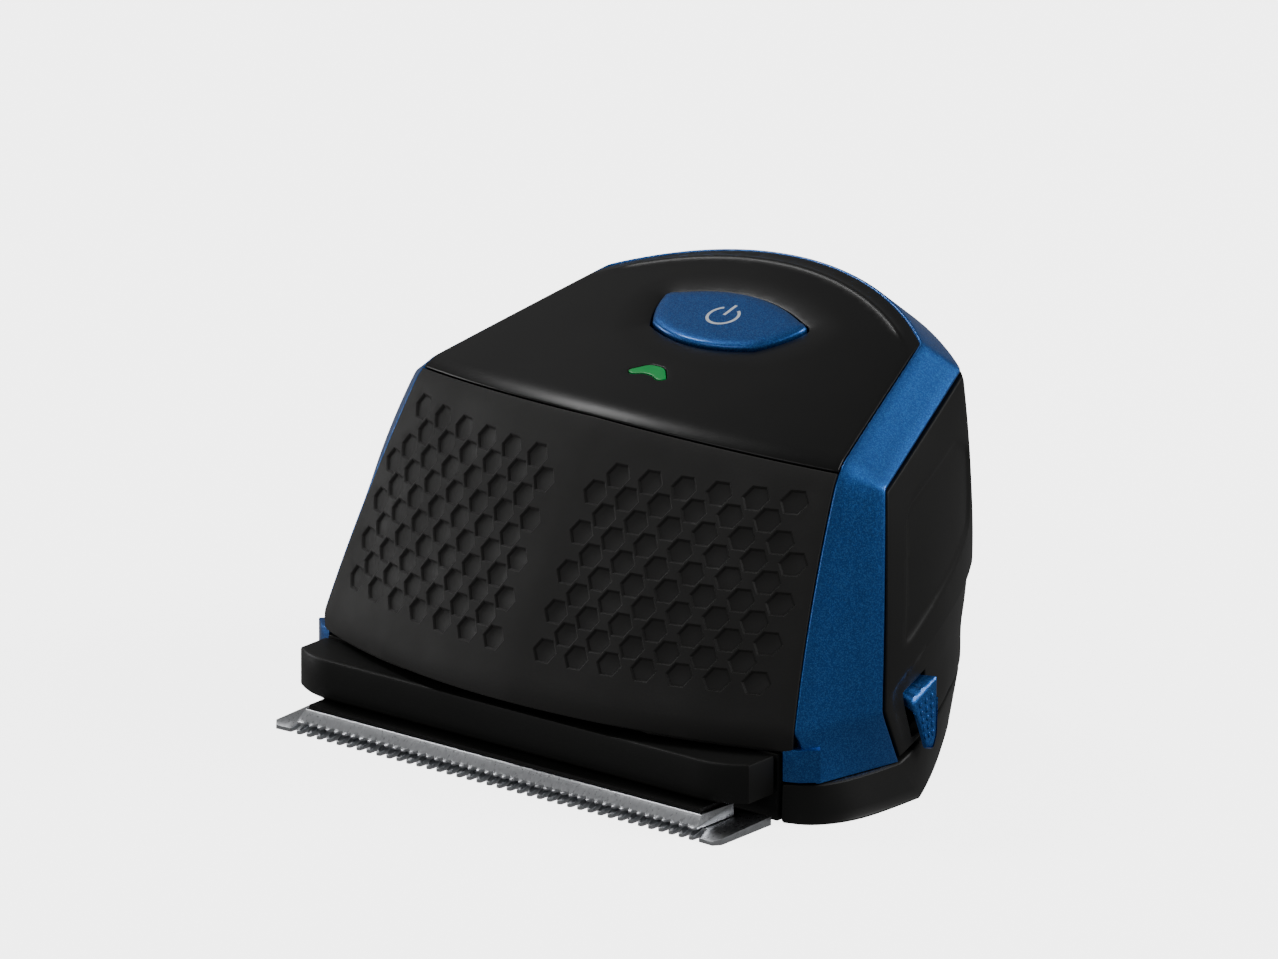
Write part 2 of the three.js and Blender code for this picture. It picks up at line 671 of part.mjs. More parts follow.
// A sprung contact plate at one end of the cell.
function cellContact(side) {
  const from = side * (cell.half + 0.15);
  const to = side * (cell.half + 0.75);
  const [low, high] = [Math.min(from, to), Math.max(from, to)];
  return block(low, high, cell.y - 3, cell.y + 3, cell.z - 4, cell.z + 6.5);
}

function circuitBoard() {
  const { half, frontY, backY, thickness, depth } = board;
  const middle = (frontY + backY) / 2;
  const reach = (backY - frontY) / 2;
  let made = onRoof(block(-half, half, -reach, reach, -depth - thickness, -depth), middle);
  for (const [x, y] of boardScrews) {
    made = made.subtract(rod(1.1, vec(x, y, boardLow(y) - 3), vec(x, y, boardTop(y) + 3), 12));
  }
  return made;
}

function switchBody() {
  const body = block(-3, 3, -3, 3, -board.depth + 0.03, -5.2);
  return onRoof(body.subtract(rod(1.75, vec(0, 0, -6.75), vec(0, 0, -4), 16)), button.y);
}

const switchPlunger = () => onRoof(rod(1.5, vec(0, 0, -6.05), vec(0, 0, -4.45), 16), button.y);

const lampDiode = () => onRoof(block(-1.6, 1.6, -0.9, 0.9, -board.depth + 0.03, -5.4), lamp.y);

const lampWindow = () => onRoof(prism(lampOutline(0), -4.6, 0.05), lamp.y);

function powerButton() {
  const cap = prism(buttonOutline(0), -2.8, button.lift);
  const flange = prism(buttonOutline(0.8), -3.4, -2.6);
  const stem = rod(2, vec(0, 0, -4.35), vec(0, 0, -3.2), 14);
  return onRoof(cap.add(flange).add(stem), button.y);
}

function chargingSocket() {
  const { z, rim, bore, faceY } = socket;
  return rod(rim, vec(0, faceY - 9, z), vec(0, faceY, z), 24)
    .subtract(rod(bore, vec(0, faceY - 7, z), vec(0, faceY + 1, z), 20))
    .add(rod(0.5, vec(0, faceY - 8, z), vec(0, faceY - 1, z), 10));
}

// ---- screws --------------------------------------------------------------------------------
// A pan-head screw whose head starts at a point and whose shank runs along a direction.
function screw(headRadius, headHeight, shankRadius, length, at, along) {
  const reach = (distance) => at.clone().addScaledVector(along, distance);
  return rod(headRadius, at, reach(headHeight), 12)
    .add(rod(shankRadius, reach(headHeight - 0.2), reach(length), 8))
    .subtract(rod(headRadius * 0.45, reach(-1), reach(headHeight * 0.5), 4));
}

// ---- assembly ------------------------------------------------------------------------------
const group = new THREE.Group();
group.name = "hair_clipper";

function piece(name, made, material) {
  const mesh = new THREE.Mesh(geometryOf(made), material);
  mesh.name = name;
  group.add(mesh);
}

const up = vec(0, 0, 1);
const down = vec(0, 0, -1);

piece("base_housing", bottomHousing(), blackPlastic);
piece("rear_housing", rearHousing(), blackPlastic);
piece("trim_frame", trimFrame(), blueLacquer);
piece("front_grip", frontGrip(), softGrip);
piece("top_cover", topCover(), satinBlack);
piece("power_button", powerButton(), blueLacquer);
piece("charge_lamp_window", lampWindow(), greenLens);
piece("side_slider", releaseSlider(), blueLacquer);
piece("blade_head", bladeHead(), blackPlastic);
piece("stationary_blade", stationaryBlade(), steel);
piece("moving_blade", movingBlade(), steel);
piece("cutter_carrier", cutterCarrier(), darkPlastic);
piece("motor_can", motorCan(), steel);
piece("motor_end_cap", motorEndCap(), darkPlastic);
piece("eccentric_shaft", eccentricShaft(), steel);
piece("chassis", chassis(), darkPlastic);
piece("battery_cell", batteryCell(), cellWrap);
piece("cell_contact_left", cellContact(-1), copper);
piece("cell_contact_right", cellContact(1), copper);
piece("circuit_board", circuitBoard(), boardGreen);
piece("switch_body", switchBody(), darkPlastic);
piece("switch_plunger", switchPlunger(), darkPlastic);
piece("lamp_diode", lampDiode(), whiteResin);
piece("charging_socket", chargingSocket(), darkPlastic);
screwSpots.forEach(([x, y], i) => {
  piece(`base_screw_${i + 1}`, screw(2.6, 1.1, 1.35, 13.6, vec(x, y, 0.3), up), steel);
});
boardScrews.forEach(([x, y], i) => {
  piece(`board_screw_${i + 1}`, screw(1.9, 1, 0.75, 7.5, vec(x, y, boardTop(y) + 1.7), down), steel);
});
bladeScrewX.forEach((x, i) => {
  piece(`blade_screw_${i + 1}`, screw(1.5, 0.6, 0.7, 6.5, vec(x, screwY, 0.05), up), steel);
});

const bounds = new THREE.Box3().setFromObject(group);
const middle = bounds.getCenter(vec(0, 0, 0));
group.position.set(-middle.x, -middle.y, -bounds.min.z);
group.updateMatrixWorld(true);

export default group;
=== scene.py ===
# Palm-held cordless hair clipper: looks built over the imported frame, in metres.
import json
import math

import bmesh
import bpy
import numpy as np
from mathutils import Matrix, Vector
from mathutils.geometry import delaunay_2d_cdt


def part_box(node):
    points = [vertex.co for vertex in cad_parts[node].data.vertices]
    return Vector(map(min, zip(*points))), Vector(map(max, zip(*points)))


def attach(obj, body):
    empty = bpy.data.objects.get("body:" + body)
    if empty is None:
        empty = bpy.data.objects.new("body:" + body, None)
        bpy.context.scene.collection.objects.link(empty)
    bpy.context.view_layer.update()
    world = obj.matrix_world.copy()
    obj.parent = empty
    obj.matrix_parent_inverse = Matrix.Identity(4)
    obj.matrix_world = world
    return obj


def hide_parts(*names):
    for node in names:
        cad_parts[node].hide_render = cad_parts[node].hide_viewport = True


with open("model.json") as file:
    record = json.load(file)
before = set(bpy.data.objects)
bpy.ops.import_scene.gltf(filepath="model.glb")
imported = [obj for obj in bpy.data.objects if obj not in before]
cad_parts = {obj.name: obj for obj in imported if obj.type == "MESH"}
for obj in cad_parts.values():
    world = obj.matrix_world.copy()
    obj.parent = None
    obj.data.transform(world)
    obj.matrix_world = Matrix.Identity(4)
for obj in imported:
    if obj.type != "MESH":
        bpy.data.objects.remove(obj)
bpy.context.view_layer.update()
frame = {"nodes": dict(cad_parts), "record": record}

# Shapes are worked out in millimetres in the design's own frame, then moved into the row frame.
bladeTipY = -3.9
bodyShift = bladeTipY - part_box("stationary_blade")[0].y * 1000


def rowMetres(points):
    moved = np.array(points, float).reshape(-1, 3).copy()
    moved[:, 1] -= bodyShift
    return moved / 1000


# Colour and materials.
def linear(hexColour):  # sRGB hex to linear RGBA
    parts = [int(hexColour[i:i + 2], 16) / 255 for i in (1, 3, 5)]
    return tuple(c / 12.92 if c <= 0.04045 else ((c + 0.055) / 1.055) ** 2.4 for c in parts) + (1,)


def addNode(tree, kind, settings=None, links=None):
    node = tree.nodes.new(kind)
    for key, value in (settings or {}).items():
        if isinstance(key, str) and hasattr(node, key):
            setattr(node, key, value)
        else:
            node.inputs[key].default_value = value
    for key, (source, output) in (links or {}).items():
        tree.links.new(source.outputs[output], node.inputs[key])
    return node


def perMetre(millimetres):  # texture scale for a pattern of this size
    return 1000 / millimetres


def startMaterial(name):
    material = bpy.data.materials.new(name)
    material.use_nodes = True
    tree = material.node_tree
    tree.nodes.clear()
    place = addNode(tree, "ShaderNodeTexCoord")
    return material, tree, place


def finishMaterial(material, shader, colour):
    tree = material.node_tree
    mixedColour = 2
    tree.links.new(colour.outputs[mixedColour], shader.inputs["Base Color"])
    addNode(tree, "ShaderNodeOutputMaterial", None, {"Surface": (shader, "BSDF")})
    return material


def blend(tree, first, second, factor):  # two colours mixed by a pattern
    colours = {"data_type": "RGBA", 6: linear(first), 7: linear(second)}
    return addNode(tree, "ShaderNodeMix", colours, {0: factor})


def spreadOver(tree, values, source, start=0.3, end=0.7):  # a pattern stretched to a range of values
    return addNode(tree, "ShaderNodeMapRange", {
        "From Min": start, "From Max": end, "To Min": values[0], "To Max": values[1]}, {"Value": source})


def mouldedPlastic(name, look):  # base for every injection-moulded or coated plastic
    material, tree, place = startMaterial(name)
    objectSpace = (place, "Object")
    cloud = addNode(tree, "ShaderNodeTexNoise", {"Scale": perMetre(look["patchMm"]), "Detail": 3.0},
                    {"Vector": objectSpace})
    grain = addNode(tree, "ShaderNodeTexNoise", {"Scale": perMetre(look["grainMm"]), "Detail": 2.0},
                    {"Vector": objectSpace})
    colour = blend(tree, look["colour"], look["worn"], (cloud, "Fac"))
    rough = spreadOver(tree, look["roughness"], (cloud, "Fac"))
    bump = addNode(tree, "ShaderNodeBump", {
        "Strength": look["grain"], "Distance": look["grainDepthMm"] / 1000}, {"Height": (grain, "Fac")})
    shader = addNode(tree, "ShaderNodeBsdfPrincipled", {
        "IOR": look.get("ior", 1.5), "Specular IOR Level": look.get("specular", 0.5),
        "Coat Weight": look.get("coat", 0.0), "Coat Roughness": look.get("coatRoughness", 0.1),
        "Sheen Weight": look.get("sheen", 0.0), "Metallic": look.get("metallic", 0.0)},
        {"Roughness": (rough, "Result"), "Normal": (bump, "Normal")})
    return finishMaterial(material, shader, colour)


def fleckLacquer(name, look):  # clear-coated metallic lacquer, aluminium flakes under a blue tint
    material, tree, place = startMaterial(name)
    flakes = addNode(tree, "ShaderNodeTexVoronoi", {"Scale": perMetre(look["flakeMm"])},
                     {"Vector": (place, "Object")})
    split = addNode(tree, "ShaderNodeSeparateColor", None, {"Color": (flakes, "Color")})
    bright = spreadOver(tree, (0, 1), (split, "Red"), 0.35, 1.0)
    colour = blend(tree, look["colour"], look["flake"], (bright, "Result"))
    rough = spreadOver(tree, look["roughness"], (split, "Green"), 0, 1)
    tilt = addNode(tree, "ShaderNodeBump", {"Strength": look["tilt"], "Distance": look["tiltMm"] / 1000},
                   {"Height": (split, "Blue")})
    shader = addNode(tree, "ShaderNodeBsdfPrincipled", {
        "Metallic": look["metallic"], "IOR": 1.5, "Coat Weight": look["coat"], "Coat Roughness": 0.12},
        {"Roughness": (rough, "Result"), "Normal": (tilt, "Normal")})
    return finishMaterial(material, shader, colour)


def groundSteel(name, look):  # ground or turned steel, fine scratches run along one axis
    material, tree, place = startMaterial(name)
    stretch = addNode(tree, "ShaderNodeMapping", {"Scale": look["stretch"]}, {"Vector": (place, "Object")})
    lines = addNode(tree, "ShaderNodeTexNoise", {"Scale": perMetre(look["scratchMm"]), "Detail": 4.0},
                    {"Vector": (stretch, "Vector")})
    colour = blend(tree, look["colour"], look["bright"], (lines, "Fac"))
    rough = spreadOver(tree, look["roughness"], (lines, "Fac"))
    bump = addNode(tree, "ShaderNodeBump", {"Strength": 0.25, "Distance": 0.00002},
                   {"Height": (lines, "Fac")})
    shader = addNode(tree, "ShaderNodeBsdfPrincipled", {"Metallic": 1.0},
                     {"Roughness": (rough, "Result"), "Normal": (bump, "Normal")})
    return finishMaterial(material, shader, colour)


# Matte ABS with a fine spark-eroded texture: reads as quiet dark plastic without glare.
matteAbs = mouldedPlastic("matte ABS", {
    "colour": "#0c0c0b", "worn": "#10100f", "roughness": (0.42, 0.52), "patchMm": 14,
    "grainMm": 0.35, "grainDepthMm": 0.02, "grain": 0.3, "specular": 0.32})
# Satin ABS of the top: smoother, so it holds a wide soft sheen.
satinAbs = mouldedPlastic("satin ABS", {
    "colour": "#080808", "worn": "#0b0b0a", "roughness": (0.3, 0.36), "patchMm": 22,
    "grainMm": 0.3, "grainDepthMm": 0.01, "grain": 0.12, "specular": 0.32})
# Soft-touch elastomer: no gloss, slightly greyer, faint sheen where it turns away.
softElastomer = mouldedPlastic("soft-touch elastomer", {
    "colour": "#191817", "worn": "#201f1e", "roughness": (0.55, 0.68), "patchMm": 9,
    "grainMm": 0.4, "grainDepthMm": 0.02, "grain": 0.35, "specular": 0.35, "sheen": 0.08})
innerNylon = mouldedPlastic("glass-filled nylon", {  # dull, slightly mottled
    "colour": "#232427", "worn": "#2d2e31", "roughness": (0.55, 0.7), "patchMm": 4,
    "grainMm": 0.4, "grainDepthMm": 0.03, "grain": 0.4, "specular": 0.35})
whiteResin = mouldedPlastic("milky resin", {  # soft white body of the small lamp
    "colour": "#dfded6", "worn": "#cfcec4", "roughness": (0.4, 0.5), "patchMm": 2,
    "grainMm": 0.3, "grainDepthMm": 0.01, "grain": 0.1})
solderMask = mouldedPlastic("solder mask", {  # green lacquer over glass laminate
    "colour": "#14502c", "worn": "#1b6236", "roughness": (0.3, 0.45), "patchMm": 3,
    "grainMm": 0.5, "grainDepthMm": 0.02, "grain": 0.3})
shrinkWrap = mouldedPlastic("shrink wrap", {  # thin glossy film pulled over the cell
    "colour": "#1f6b40", "worn": "#27804e", "roughness": (0.2, 0.35), "patchMm": 6,
    "grainMm": 1.2, "grainDepthMm": 0.05, "grain": 0.3})
greenLens = mouldedPlastic("tinted acrylic", {  # even green with a soft gloss
    "colour": "#009a48", "worn": "#00a850", "roughness": (0.3, 0.38), "patchMm": 2,
    "grainMm": 0.4, "grainDepthMm": 0.01, "grain": 0.1})
printedWhite = mouldedPlastic("pad-printed ink", {  # thin matte ink
    "colour": "#e4e9ee", "worn": "#d4dce4", "roughness": (0.45, 0.6), "patchMm": 1,
    "grainMm": 0.2, "grainDepthMm": 0.01, "grain": 0.2})
blueLacquer = fleckLacquer("metallic lacquer", {  # fine flakes that sparkle under a thin coat
    "colour": "#1b4f96", "flake": "#3270b8", "roughness": (0.3, 0.5), "flakeMm": 0.13,
    "tilt": 0.3, "tiltMm": 0.03, "metallic": 0.85, "coat": 0.3})
bladeSteel = groundSteel("ground blade steel", {  # fine grinding lines front to back
    "colour": "#b4b6ba", "bright": "#d3d5d8", "roughness": (0.26, 0.36),
    "scratchMm": 0.3, "stretch": (1, 0.5, 0.5)})
platedSteel = groundSteel("plated steel", {  # zinc plate, evenly bright
    "colour": "#8f9195", "bright": "#c4c6c9", "roughness": (0.25, 0.4), "scratchMm": 1.2,
    "stretch": (1, 1, 0.2)})
sprungCopper = groundSteel("sprung copper", {  # warm rolled strip
    "colour": "#a96a2e", "bright": "#d5955a", "roughness": (0.25, 0.4), "scratchMm": 0.8,
    "stretch": (0.3, 1, 1)})
slotLooks = {
    "black_plastic": matteAbs, "gloss_black": satinAbs, "soft_grip": softElastomer,
    "blue_lacquer": blueLacquer, "blade_steel": bladeSteel, "dark_plastic": innerNylon,
    "green_lens": greenLens, "white_lens": whiteResin, "contact_copper": sprungCopper,
    "board_laminate": solderMask, "cell_wrap": shrinkWrap, "motor_steel": platedSteel}
print("materials ready")


# Mesh helpers.
def makePiece(name, points, faces, body, slotName, replaced=(), material=None, sharp=32):
    mesh = bpy.data.meshes.new(name)
    mesh.from_pydata(rowMetres(points).tolist(), [], [tuple(int(i) for i in f) for f in faces])
    work = bmesh.new()
    work.from_mesh(mesh)
    bmesh.ops.remove_doubles(work, verts=work.verts, dist=2e-6)
    bmesh.ops.dissolve_degenerate(work, edges=work.edges, dist=1e-7)
    bmesh.ops.recalc_face_normals(work, faces=work.faces)
    work.to_mesh(mesh)
    work.free()
    mesh.polygons.foreach_set("use_smooth", [True] * len(mesh.polygons))
    mesh.set_sharp_from_angle(angle=math.radians(sharp))
    piece = bpy.data.objects.new(name, mesh)
    bpy.context.scene.collection.objects.link(piece)
    mesh.materials.append(material or slotLooks[slotName])
    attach(piece, body)
    if replaced:
        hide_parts(*replaced)
    print("made", name, len(mesh.polygons), "faces")
    return piece


def joined(parts):  # several (points, faces) into one
    points, faces, start = [], [], 0
    for somePoints, someFaces in parts:
        points.append(np.array(somePoints, float).reshape(-1, 3))
        faces += [tuple(int(i) + start for i in f) for f in someFaces]
        start += len(points[-1])
    return np.concatenate(points), faces


def unit(rows):
    return rows / np.maximum(np.linalg.norm(rows, axis=-1, keepdims=True), 1e-12)


def insetLoop(loop, amount):  # an anticlockwise loop moved inwards
    along = unit(np.roll(loop, -1, 0) - loop)
    left = np.stack([-along[:, 1], along[:, 0]], -1)
    corner = unit(left + np.roll(left, 1, 0))
    reach = np.clip((corner * left).sum(1), 0.6, 1)
    return loop + corner * (amount / reach)[:, None]


def anticlockwise(loop):
    loop = np.array(loop, float)
    area = (loop[:, 0] * np.roll(loop[:, 1], -1) - np.roll(loop[:, 0], -1) * loop[:, 1]).sum()
    return loop if area > 0 else loop[::-1].copy()


def spread(loop, step):  # closed loop with a point about every step
    points = []
    for a, b in zip(loop, np.roll(loop, -1, 0)):
        count = max(1, int(np.linalg.norm(b - a) / step))
        points += [a + (b - a) * i / count for i in range(count)]
    return np.array(points)


def inside(loop, points):
    hit = np.zeros(len(points), bool)
    for a, b in zip(loop, np.roll(loop, -1, 0)):
        if a[1] == b[1]:
            continue
        crosses = (a[1] > points[:, 1]) != (b[1] > points[:, 1])
        at = (b[0] - a[0]) * (points[:, 1] - a[1]) / (b[1] - a[1]) + a[0]
        hit ^= crosses & (points[:, 0] < at)
    return hit


def nearest(points, targets, chunk=4000):
    return np.concatenate([np.sqrt(((points[i:i + chunk, None] - targets[None]) ** 2).sum(-1).min(1))
                           for i in range(0, len(points), chunk)]) if len(points) else np.zeros(0)


def triangulate(outline, holes, loops, step):
    rings = [outline, *holes, *loops]
    fixed = np.concatenate(rings)
    edges, start = [], 0
    for ring in rings:
        edges += [(start + i, start + (i + 1) % len(ring)) for i in range(len(ring))]
        start += len(ring)
    low, high = outline.min(0), outline.max(0)
    xs = np.arange(low[0] + step / 2, high[0], step)
    ys = np.arange(low[1] + step / 2, high[1], step)
    grid = np.stack(np.meshgrid(xs, ys), -1).reshape(-1, 2)
    keep = inside(outline, grid)
    for hole in holes:
        keep &= ~inside(hole, grid)
    grid = grid[keep]
    grid = grid[nearest(grid, fixed) > 0.55 * step]
    every = np.concatenate([fixed, grid])
    verts, _, faces, _, _, _ = delaunay_2d_cdt([Vector(p) for p in every.tolist()], edges, [], 0, 1e-7)
    flat = np.array([tuple(v) for v in verts])
    faces = np.array([f[:3] for f in faces])
    middles = flat[faces].mean(1)
    good = inside(outline, middles)
    for hole in holes:
        good &= ~inside(hole, middles)
    return flat, faces[good]


def edgeDrop(distance, radius):  # how far a rounded edge falls below the face
    near = np.clip(radius - distance, 0, radius)
    return radius - np.sqrt(radius ** 2 - near ** 2)


# A moulded sheet over a flat domain: surface maps it to space, relief is its height pattern.
def sheet(surface, outline, holes=(), loops=(), step=1.0, thickness=2.0, edge=0.3, relief=None, core=None):
    outline = anticlockwise(outline)
    holes = [anticlockwise(h) for h in holes]
    rolls = [insetLoop(outline, edge * share) for share in (0.12, 0.35, 0.7, 1.1)]
    for hole in holes:
        rolls += [insetLoop(hole, -edge * share) for share in (0.12, 0.35, 0.7, 1.1)]
    flat, faces = triangulate(outline, holes, [*rolls, *loops], step)
    back, backFaces = triangulate(outline, holes, [], max(4 * step, 4))

    def normals(par):
        e = 1e-3
        across = surface(par + [e, 0]) - surface(par - [e, 0])
        along = surface(par + [0, e]) - surface(par - [0, e])
        out = unit(np.cross(across, along))
        if core is not None:
            facing = ((surface(par) - core) * out).sum(1)
            out[facing < 0] *= -1
        return out

    dense = spread(outline, 0.15)
    for hole in holes:
        dense = np.concatenate([dense, spread(hole, 0.15)])
    drop = edgeDrop(nearest(flat, dense), edge)
    height = -drop if relief is None else relief(flat) - drop
    front = surface(flat) + normals(flat) * height[:, None]
    rear = surface(back) - normals(back) * thickness
    sides, start, offset = [], 0, len(front)
    for ring in [outline, *holes]:
        count = len(ring)
        for i in range(count):
            j = (i + 1) % count
            sides.append((start + i, start + j, offset + start + j, offset + start + i))
        start += count
    faces = [tuple(f) for f in faces] + [tuple(int(i) + offset for i in f[::-1]) for f in backFaces] + sides
    return np.concatenate([front, rear]), faces


def solveParams(surface, axes, targets, guess, rounds=14):  # where a surface has these two coordinates
    par = np.array(guess, float)
    e = 1e-4
    for _ in range(rounds):
        at = surface(par)[:, axes]
        du = (surface(par + [e, 0])[:, axes] - at) / e
        dv = (surface(par + [0, e])[:, axes] - at) / e
        miss = targets - at
        det = du[:, 0] * dv[:, 1] - du[:, 1] * dv[:, 0]
        det = np.where(abs(det) < 1e-9, 1e-9, det)
        step = np.stack([(miss[:, 0] * dv[:, 1] - miss[:, 1] * dv[:, 0]) / det,
                         (du[:, 0] * miss[:, 1] - du[:, 1] * miss[:, 0]) / det], -1)
        par += np.clip(step, -0.2, 0.2)
    return par


# A slab on a flat outline; low and high give its two faces' heights at any point.
def slab(outline, low, high, loops=(), step=3.0, edge=0.15, place=None):
    outline = anticlockwise(outline)
    inner = [insetLoop(outline, edge * share) for share in (0.3, 1.0)]
    flat, faces = triangulate(outline, [], [*inner, *loops], step)
    drop = edgeDrop(nearest(flat, spread(outline, 0.1)), edge)
    top = np.column_stack([flat, high(flat) - drop])
    bottom = np.column_stack([flat, low(flat) + drop])
    count, sides = len(outline), []
    for i in range(count):
        j = (i + 1) % count
        sides.append((i, j, len(flat) + j, len(flat) + i))
    faces = [tuple(f) for f in faces] + [tuple(int(i) + len(flat) for i in f[::-1]) for f in faces] + sides
    points = np.concatenate([top, bottom])
    return (points if place is None else place(points)), faces


def softLoop(corners, step, times):  # a closed outline with rounded corners
    loop = spread(anticlockwise(corners), step)
    for _ in range(times):
        loop = (np.roll(loop, 1, 0) + 2 * loop + np.roll(loop, -1, 0)) / 4
    return loop


def level(z):
    return lambda flat: np.full(len(flat), float(z))


def bow(a, b, c, count):  # points along a quadratic curve, without the last
    t = np.linspace(0, 1, count, endpoint=False)[:, None]
    return quad(np.array(a, float), np.array(b, float), np.array(c, float), t)


def quad(a, b, c, t):
    return (1 - t) ** 2 * a + 2 * t * (1 - t) * b + t * t * c


def mix(a, b, t):
    return a + (b - a) * t


def smooth(t):
    t = np.clip(t, 0, 1)
    return t * t * (3 - 2 * t)


def sagitta(radius, x):
    return radius - np.sqrt(np.maximum(radius ** 2 - x ** 2, 1))


# The skin that grip, cover, frame and rear housing share.
skin = {"radius": 80, "foot": -7.85, "lean": 0.551, "bow": 1.1, "lowZ": 11.1, "halfWidth": 40.3,
        "ridgeY": 17.8, "ridgeZ": 46.5, "slope": 0.24, "crown": 165, "ridgeHalf": 35.2, "backHalf": 26.5,
        "backY": 61.5, "backRadius": 44.7, "round": 0.07, "seam": 0.985, "gap": 0.15}
core = np.array([0.0, 34.0, 24.0])
foldInner, foldOuter = np.array([40.1, 9.7, 12.3]), np.array([45.5, 21.5, 13.4])
footInner, footOuter = np.array([42.3, 11.4, 5.6]), np.array([45.0, 25.5, 5.6])
shoulder, backCorner = np.array([40.0, 28.8, 41.2]), np.array([31.0, 56.1, 48.9])


foldAt = 0.055  # share of the way up at which the frame's lower fold lies


def frontY(x, z):
    bulge = skin["bow"] * np.maximum(0, 1 - ((z - 28.8) / 17.7) ** 2)
    return skin["foot"] + skin["lean"] * z + sagitta(skin["radius"], x) - bulge


def roofZ(x, y):
    return skin["ridgeZ"] + skin["slope"] * (y - skin["ridgeY"]) - x ** 2 / (2 * skin["crown"])


def coverSurface(par):  # rows of (share of width, 0 to 1 up the front and 1 to 2 over the roof)
    s, p = par[:, 0], par[:, 1]
    cornerX = s * skin["ridgeHalf"]
    start = skin["foot"] + sagitta(skin["radius"], cornerX)
    ridgeLevel = skin["ridgeZ"] - skin["slope"] * skin["ridgeY"] - cornerX ** 2 / (2 * skin["crown"])
    cornerY = (start + skin["lean"] * ridgeLevel) / (1 - skin["lean"] * skin["slope"])
    cornerZ = roofZ(cornerX, cornerY)
    corner = np.stack([cornerX, cornerY, cornerZ], -1)

    def front(t):
        z = mix(skin["lowZ"] - s ** 2, cornerZ, t)
        x = s * mix(skin["halfWidth"], skin["ridgeHalf"], t)
        return np.stack([x, frontY(x, z), z], -1)

    def top(t):
        endX = s * skin["backHalf"]
        endY = skin["backY"] - sagitta(skin["backRadius"], endX)
        x, y = mix(cornerX, endX, t), mix(cornerY, endY, t)
        return np.stack([x, y, roofZ(x, y)], -1)

    r = skin["round"]
    bend = quad(front(1 - r), corner, top(r), np.clip((p - 1 + r) / (2 * r), 0, 1)[:, None])
    low, high = (p <= 1 - r)[:, None], (p >= 1 + r)[:, None]
    return np.where(low, front(np.minimum(p, 1 - r)), np.where(high, top(np.maximum(p - 1, r)), bend))


def coverRow(s, p):
    s, p = np.broadcast_arrays(np.array(s, float), np.array(p, float))
    return coverSurface(np.stack([s.ravel(), p.ravel()], -1))


def frameOuter(p):
    p = np.array(p, float).reshape(-1, 1)
    t = (p - foldAt) / (1 - foldAt)
    return np.where(p <= 1, quad(foldOuter, np.array([44.2, 23.6, 28.0]), shoulder, t),
                    mix(shoulder, backCorner, p - 1))


def frameBack(s):
    s = np.array(s, float)
    x = s * backCorner[0]
    return np.stack([x, 65.5 - sagitta(55.8, x), 53.2 - 4.3 * s ** 2], -1)


# Front grip: elastomer with two fields of hexagonal dimples.
gripLook = {"rows": 10, "topZ": 39.95, "rowStep": 2.4, "columnStep": 4.93, "evenStart": 6.85,
            "oddStart": 4.35, "radii": (1.92, 1.8, 1.6, 1.46), "depth": 0.39, "lipHeight": 2.6,
            "lipDepth": 0.9, "fold": 0.3, "foldReach": 5, "footShare": 0.006, "seamGap": 0.07}
hexFlat = math.cos(math.radians(30))
slopeLength = 1.142  # length up the leaning front for each millimetre of height


def gripSurface(par):
    x, z = par[:, 0], par[:, 1] / slopeLength
    start = np.stack([x / 38, (z - 11) / 34], -1)
    return coverSurface(solveParams(coverSurface, [0, 2], np.stack([x, z], -1), start))


def dimpleCentres():
    centres = []
    for row in range(gripLook["rows"]):
        z = gripLook["topZ"] - gripLook["rowStep"] * row
        count = 7 if row > 1 and row % 2 else 6
        start = gripLook["oddStart"] if row % 2 else gripLook["evenStart"]
        for k in range(count):
            for side in (-1, 1):
                centres.append((side * (start + gripLook["columnStep"] * k), z * slopeLength))
    return np.array(centres)


def hexLoop(centre, radius):  # one pair of edges lies level
    angles = np.radians(np.arange(6) * 60)
    ring = centre + radius * np.stack([np.cos(angles), np.sin(angles)], -1)
    return spread(ring, 0.8)


def makeGrip():
    look = gripLook
    centres = dimpleCentres()
    foot = look["footShare"]
    low = coverRow(np.linspace(-1, 1, 90), foot)
    high = coverRow(np.linspace(1, -1, 80), skin["seam"])
    right = coverRow(1, np.linspace(foot, skin["seam"], 50))[1:-1]
    left = coverRow(-1, np.linspace(skin["seam"], foot, 50))[1:-1]
    rim = np.concatenate([low, right, high, left])
    flatRim = anticlockwise(np.stack([rim[:, 0], rim[:, 2] * slopeLength], -1))
    outline = insetLoop(flatRim, look["seamGap"])
    loops = [hexLoop(c, r) for c in centres for r in look["radii"]]

    def relief(flat):
        offset = flat[:, None] - centres[None]
        which = (offset ** 2).sum(-1).argmin(1)
        near = offset[np.arange(len(flat)), which]
        slanted = abs(near[:, 0]) * hexFlat + abs(near[:, 1]) * 0.5
        size = np.maximum(abs(near[:, 1]), slanted) / hexFlat
        wall = [look["depth"] * share for share in (1, 0.87, 0.16, 0)]
        depth = np.interp(size, look["radii"][::-1], wall)
        share = flat[:, 0] / skin["halfWidth"]
        above = flat[:, 1] / slopeLength - (skin["lowZ"] - share ** 2)
        rolled = np.clip(1 - above / look["lipHeight"], 0, 1) ** 1.7
        lip = look["lipDepth"] * (0.8 + 0.5 * share ** 2) * rolled
        fold = look["fold"] * np.exp(-abs(flat[:, 0]) / look["foldReach"])
        return fold - depth - lip

    made = sheet(gripSurface, outline, (), loops, 1.5, 2.0, 0.18, relief, core)
    makePiece("frontGrip", *made, "body", "soft_grip", ["front_grip"], sharp=28)


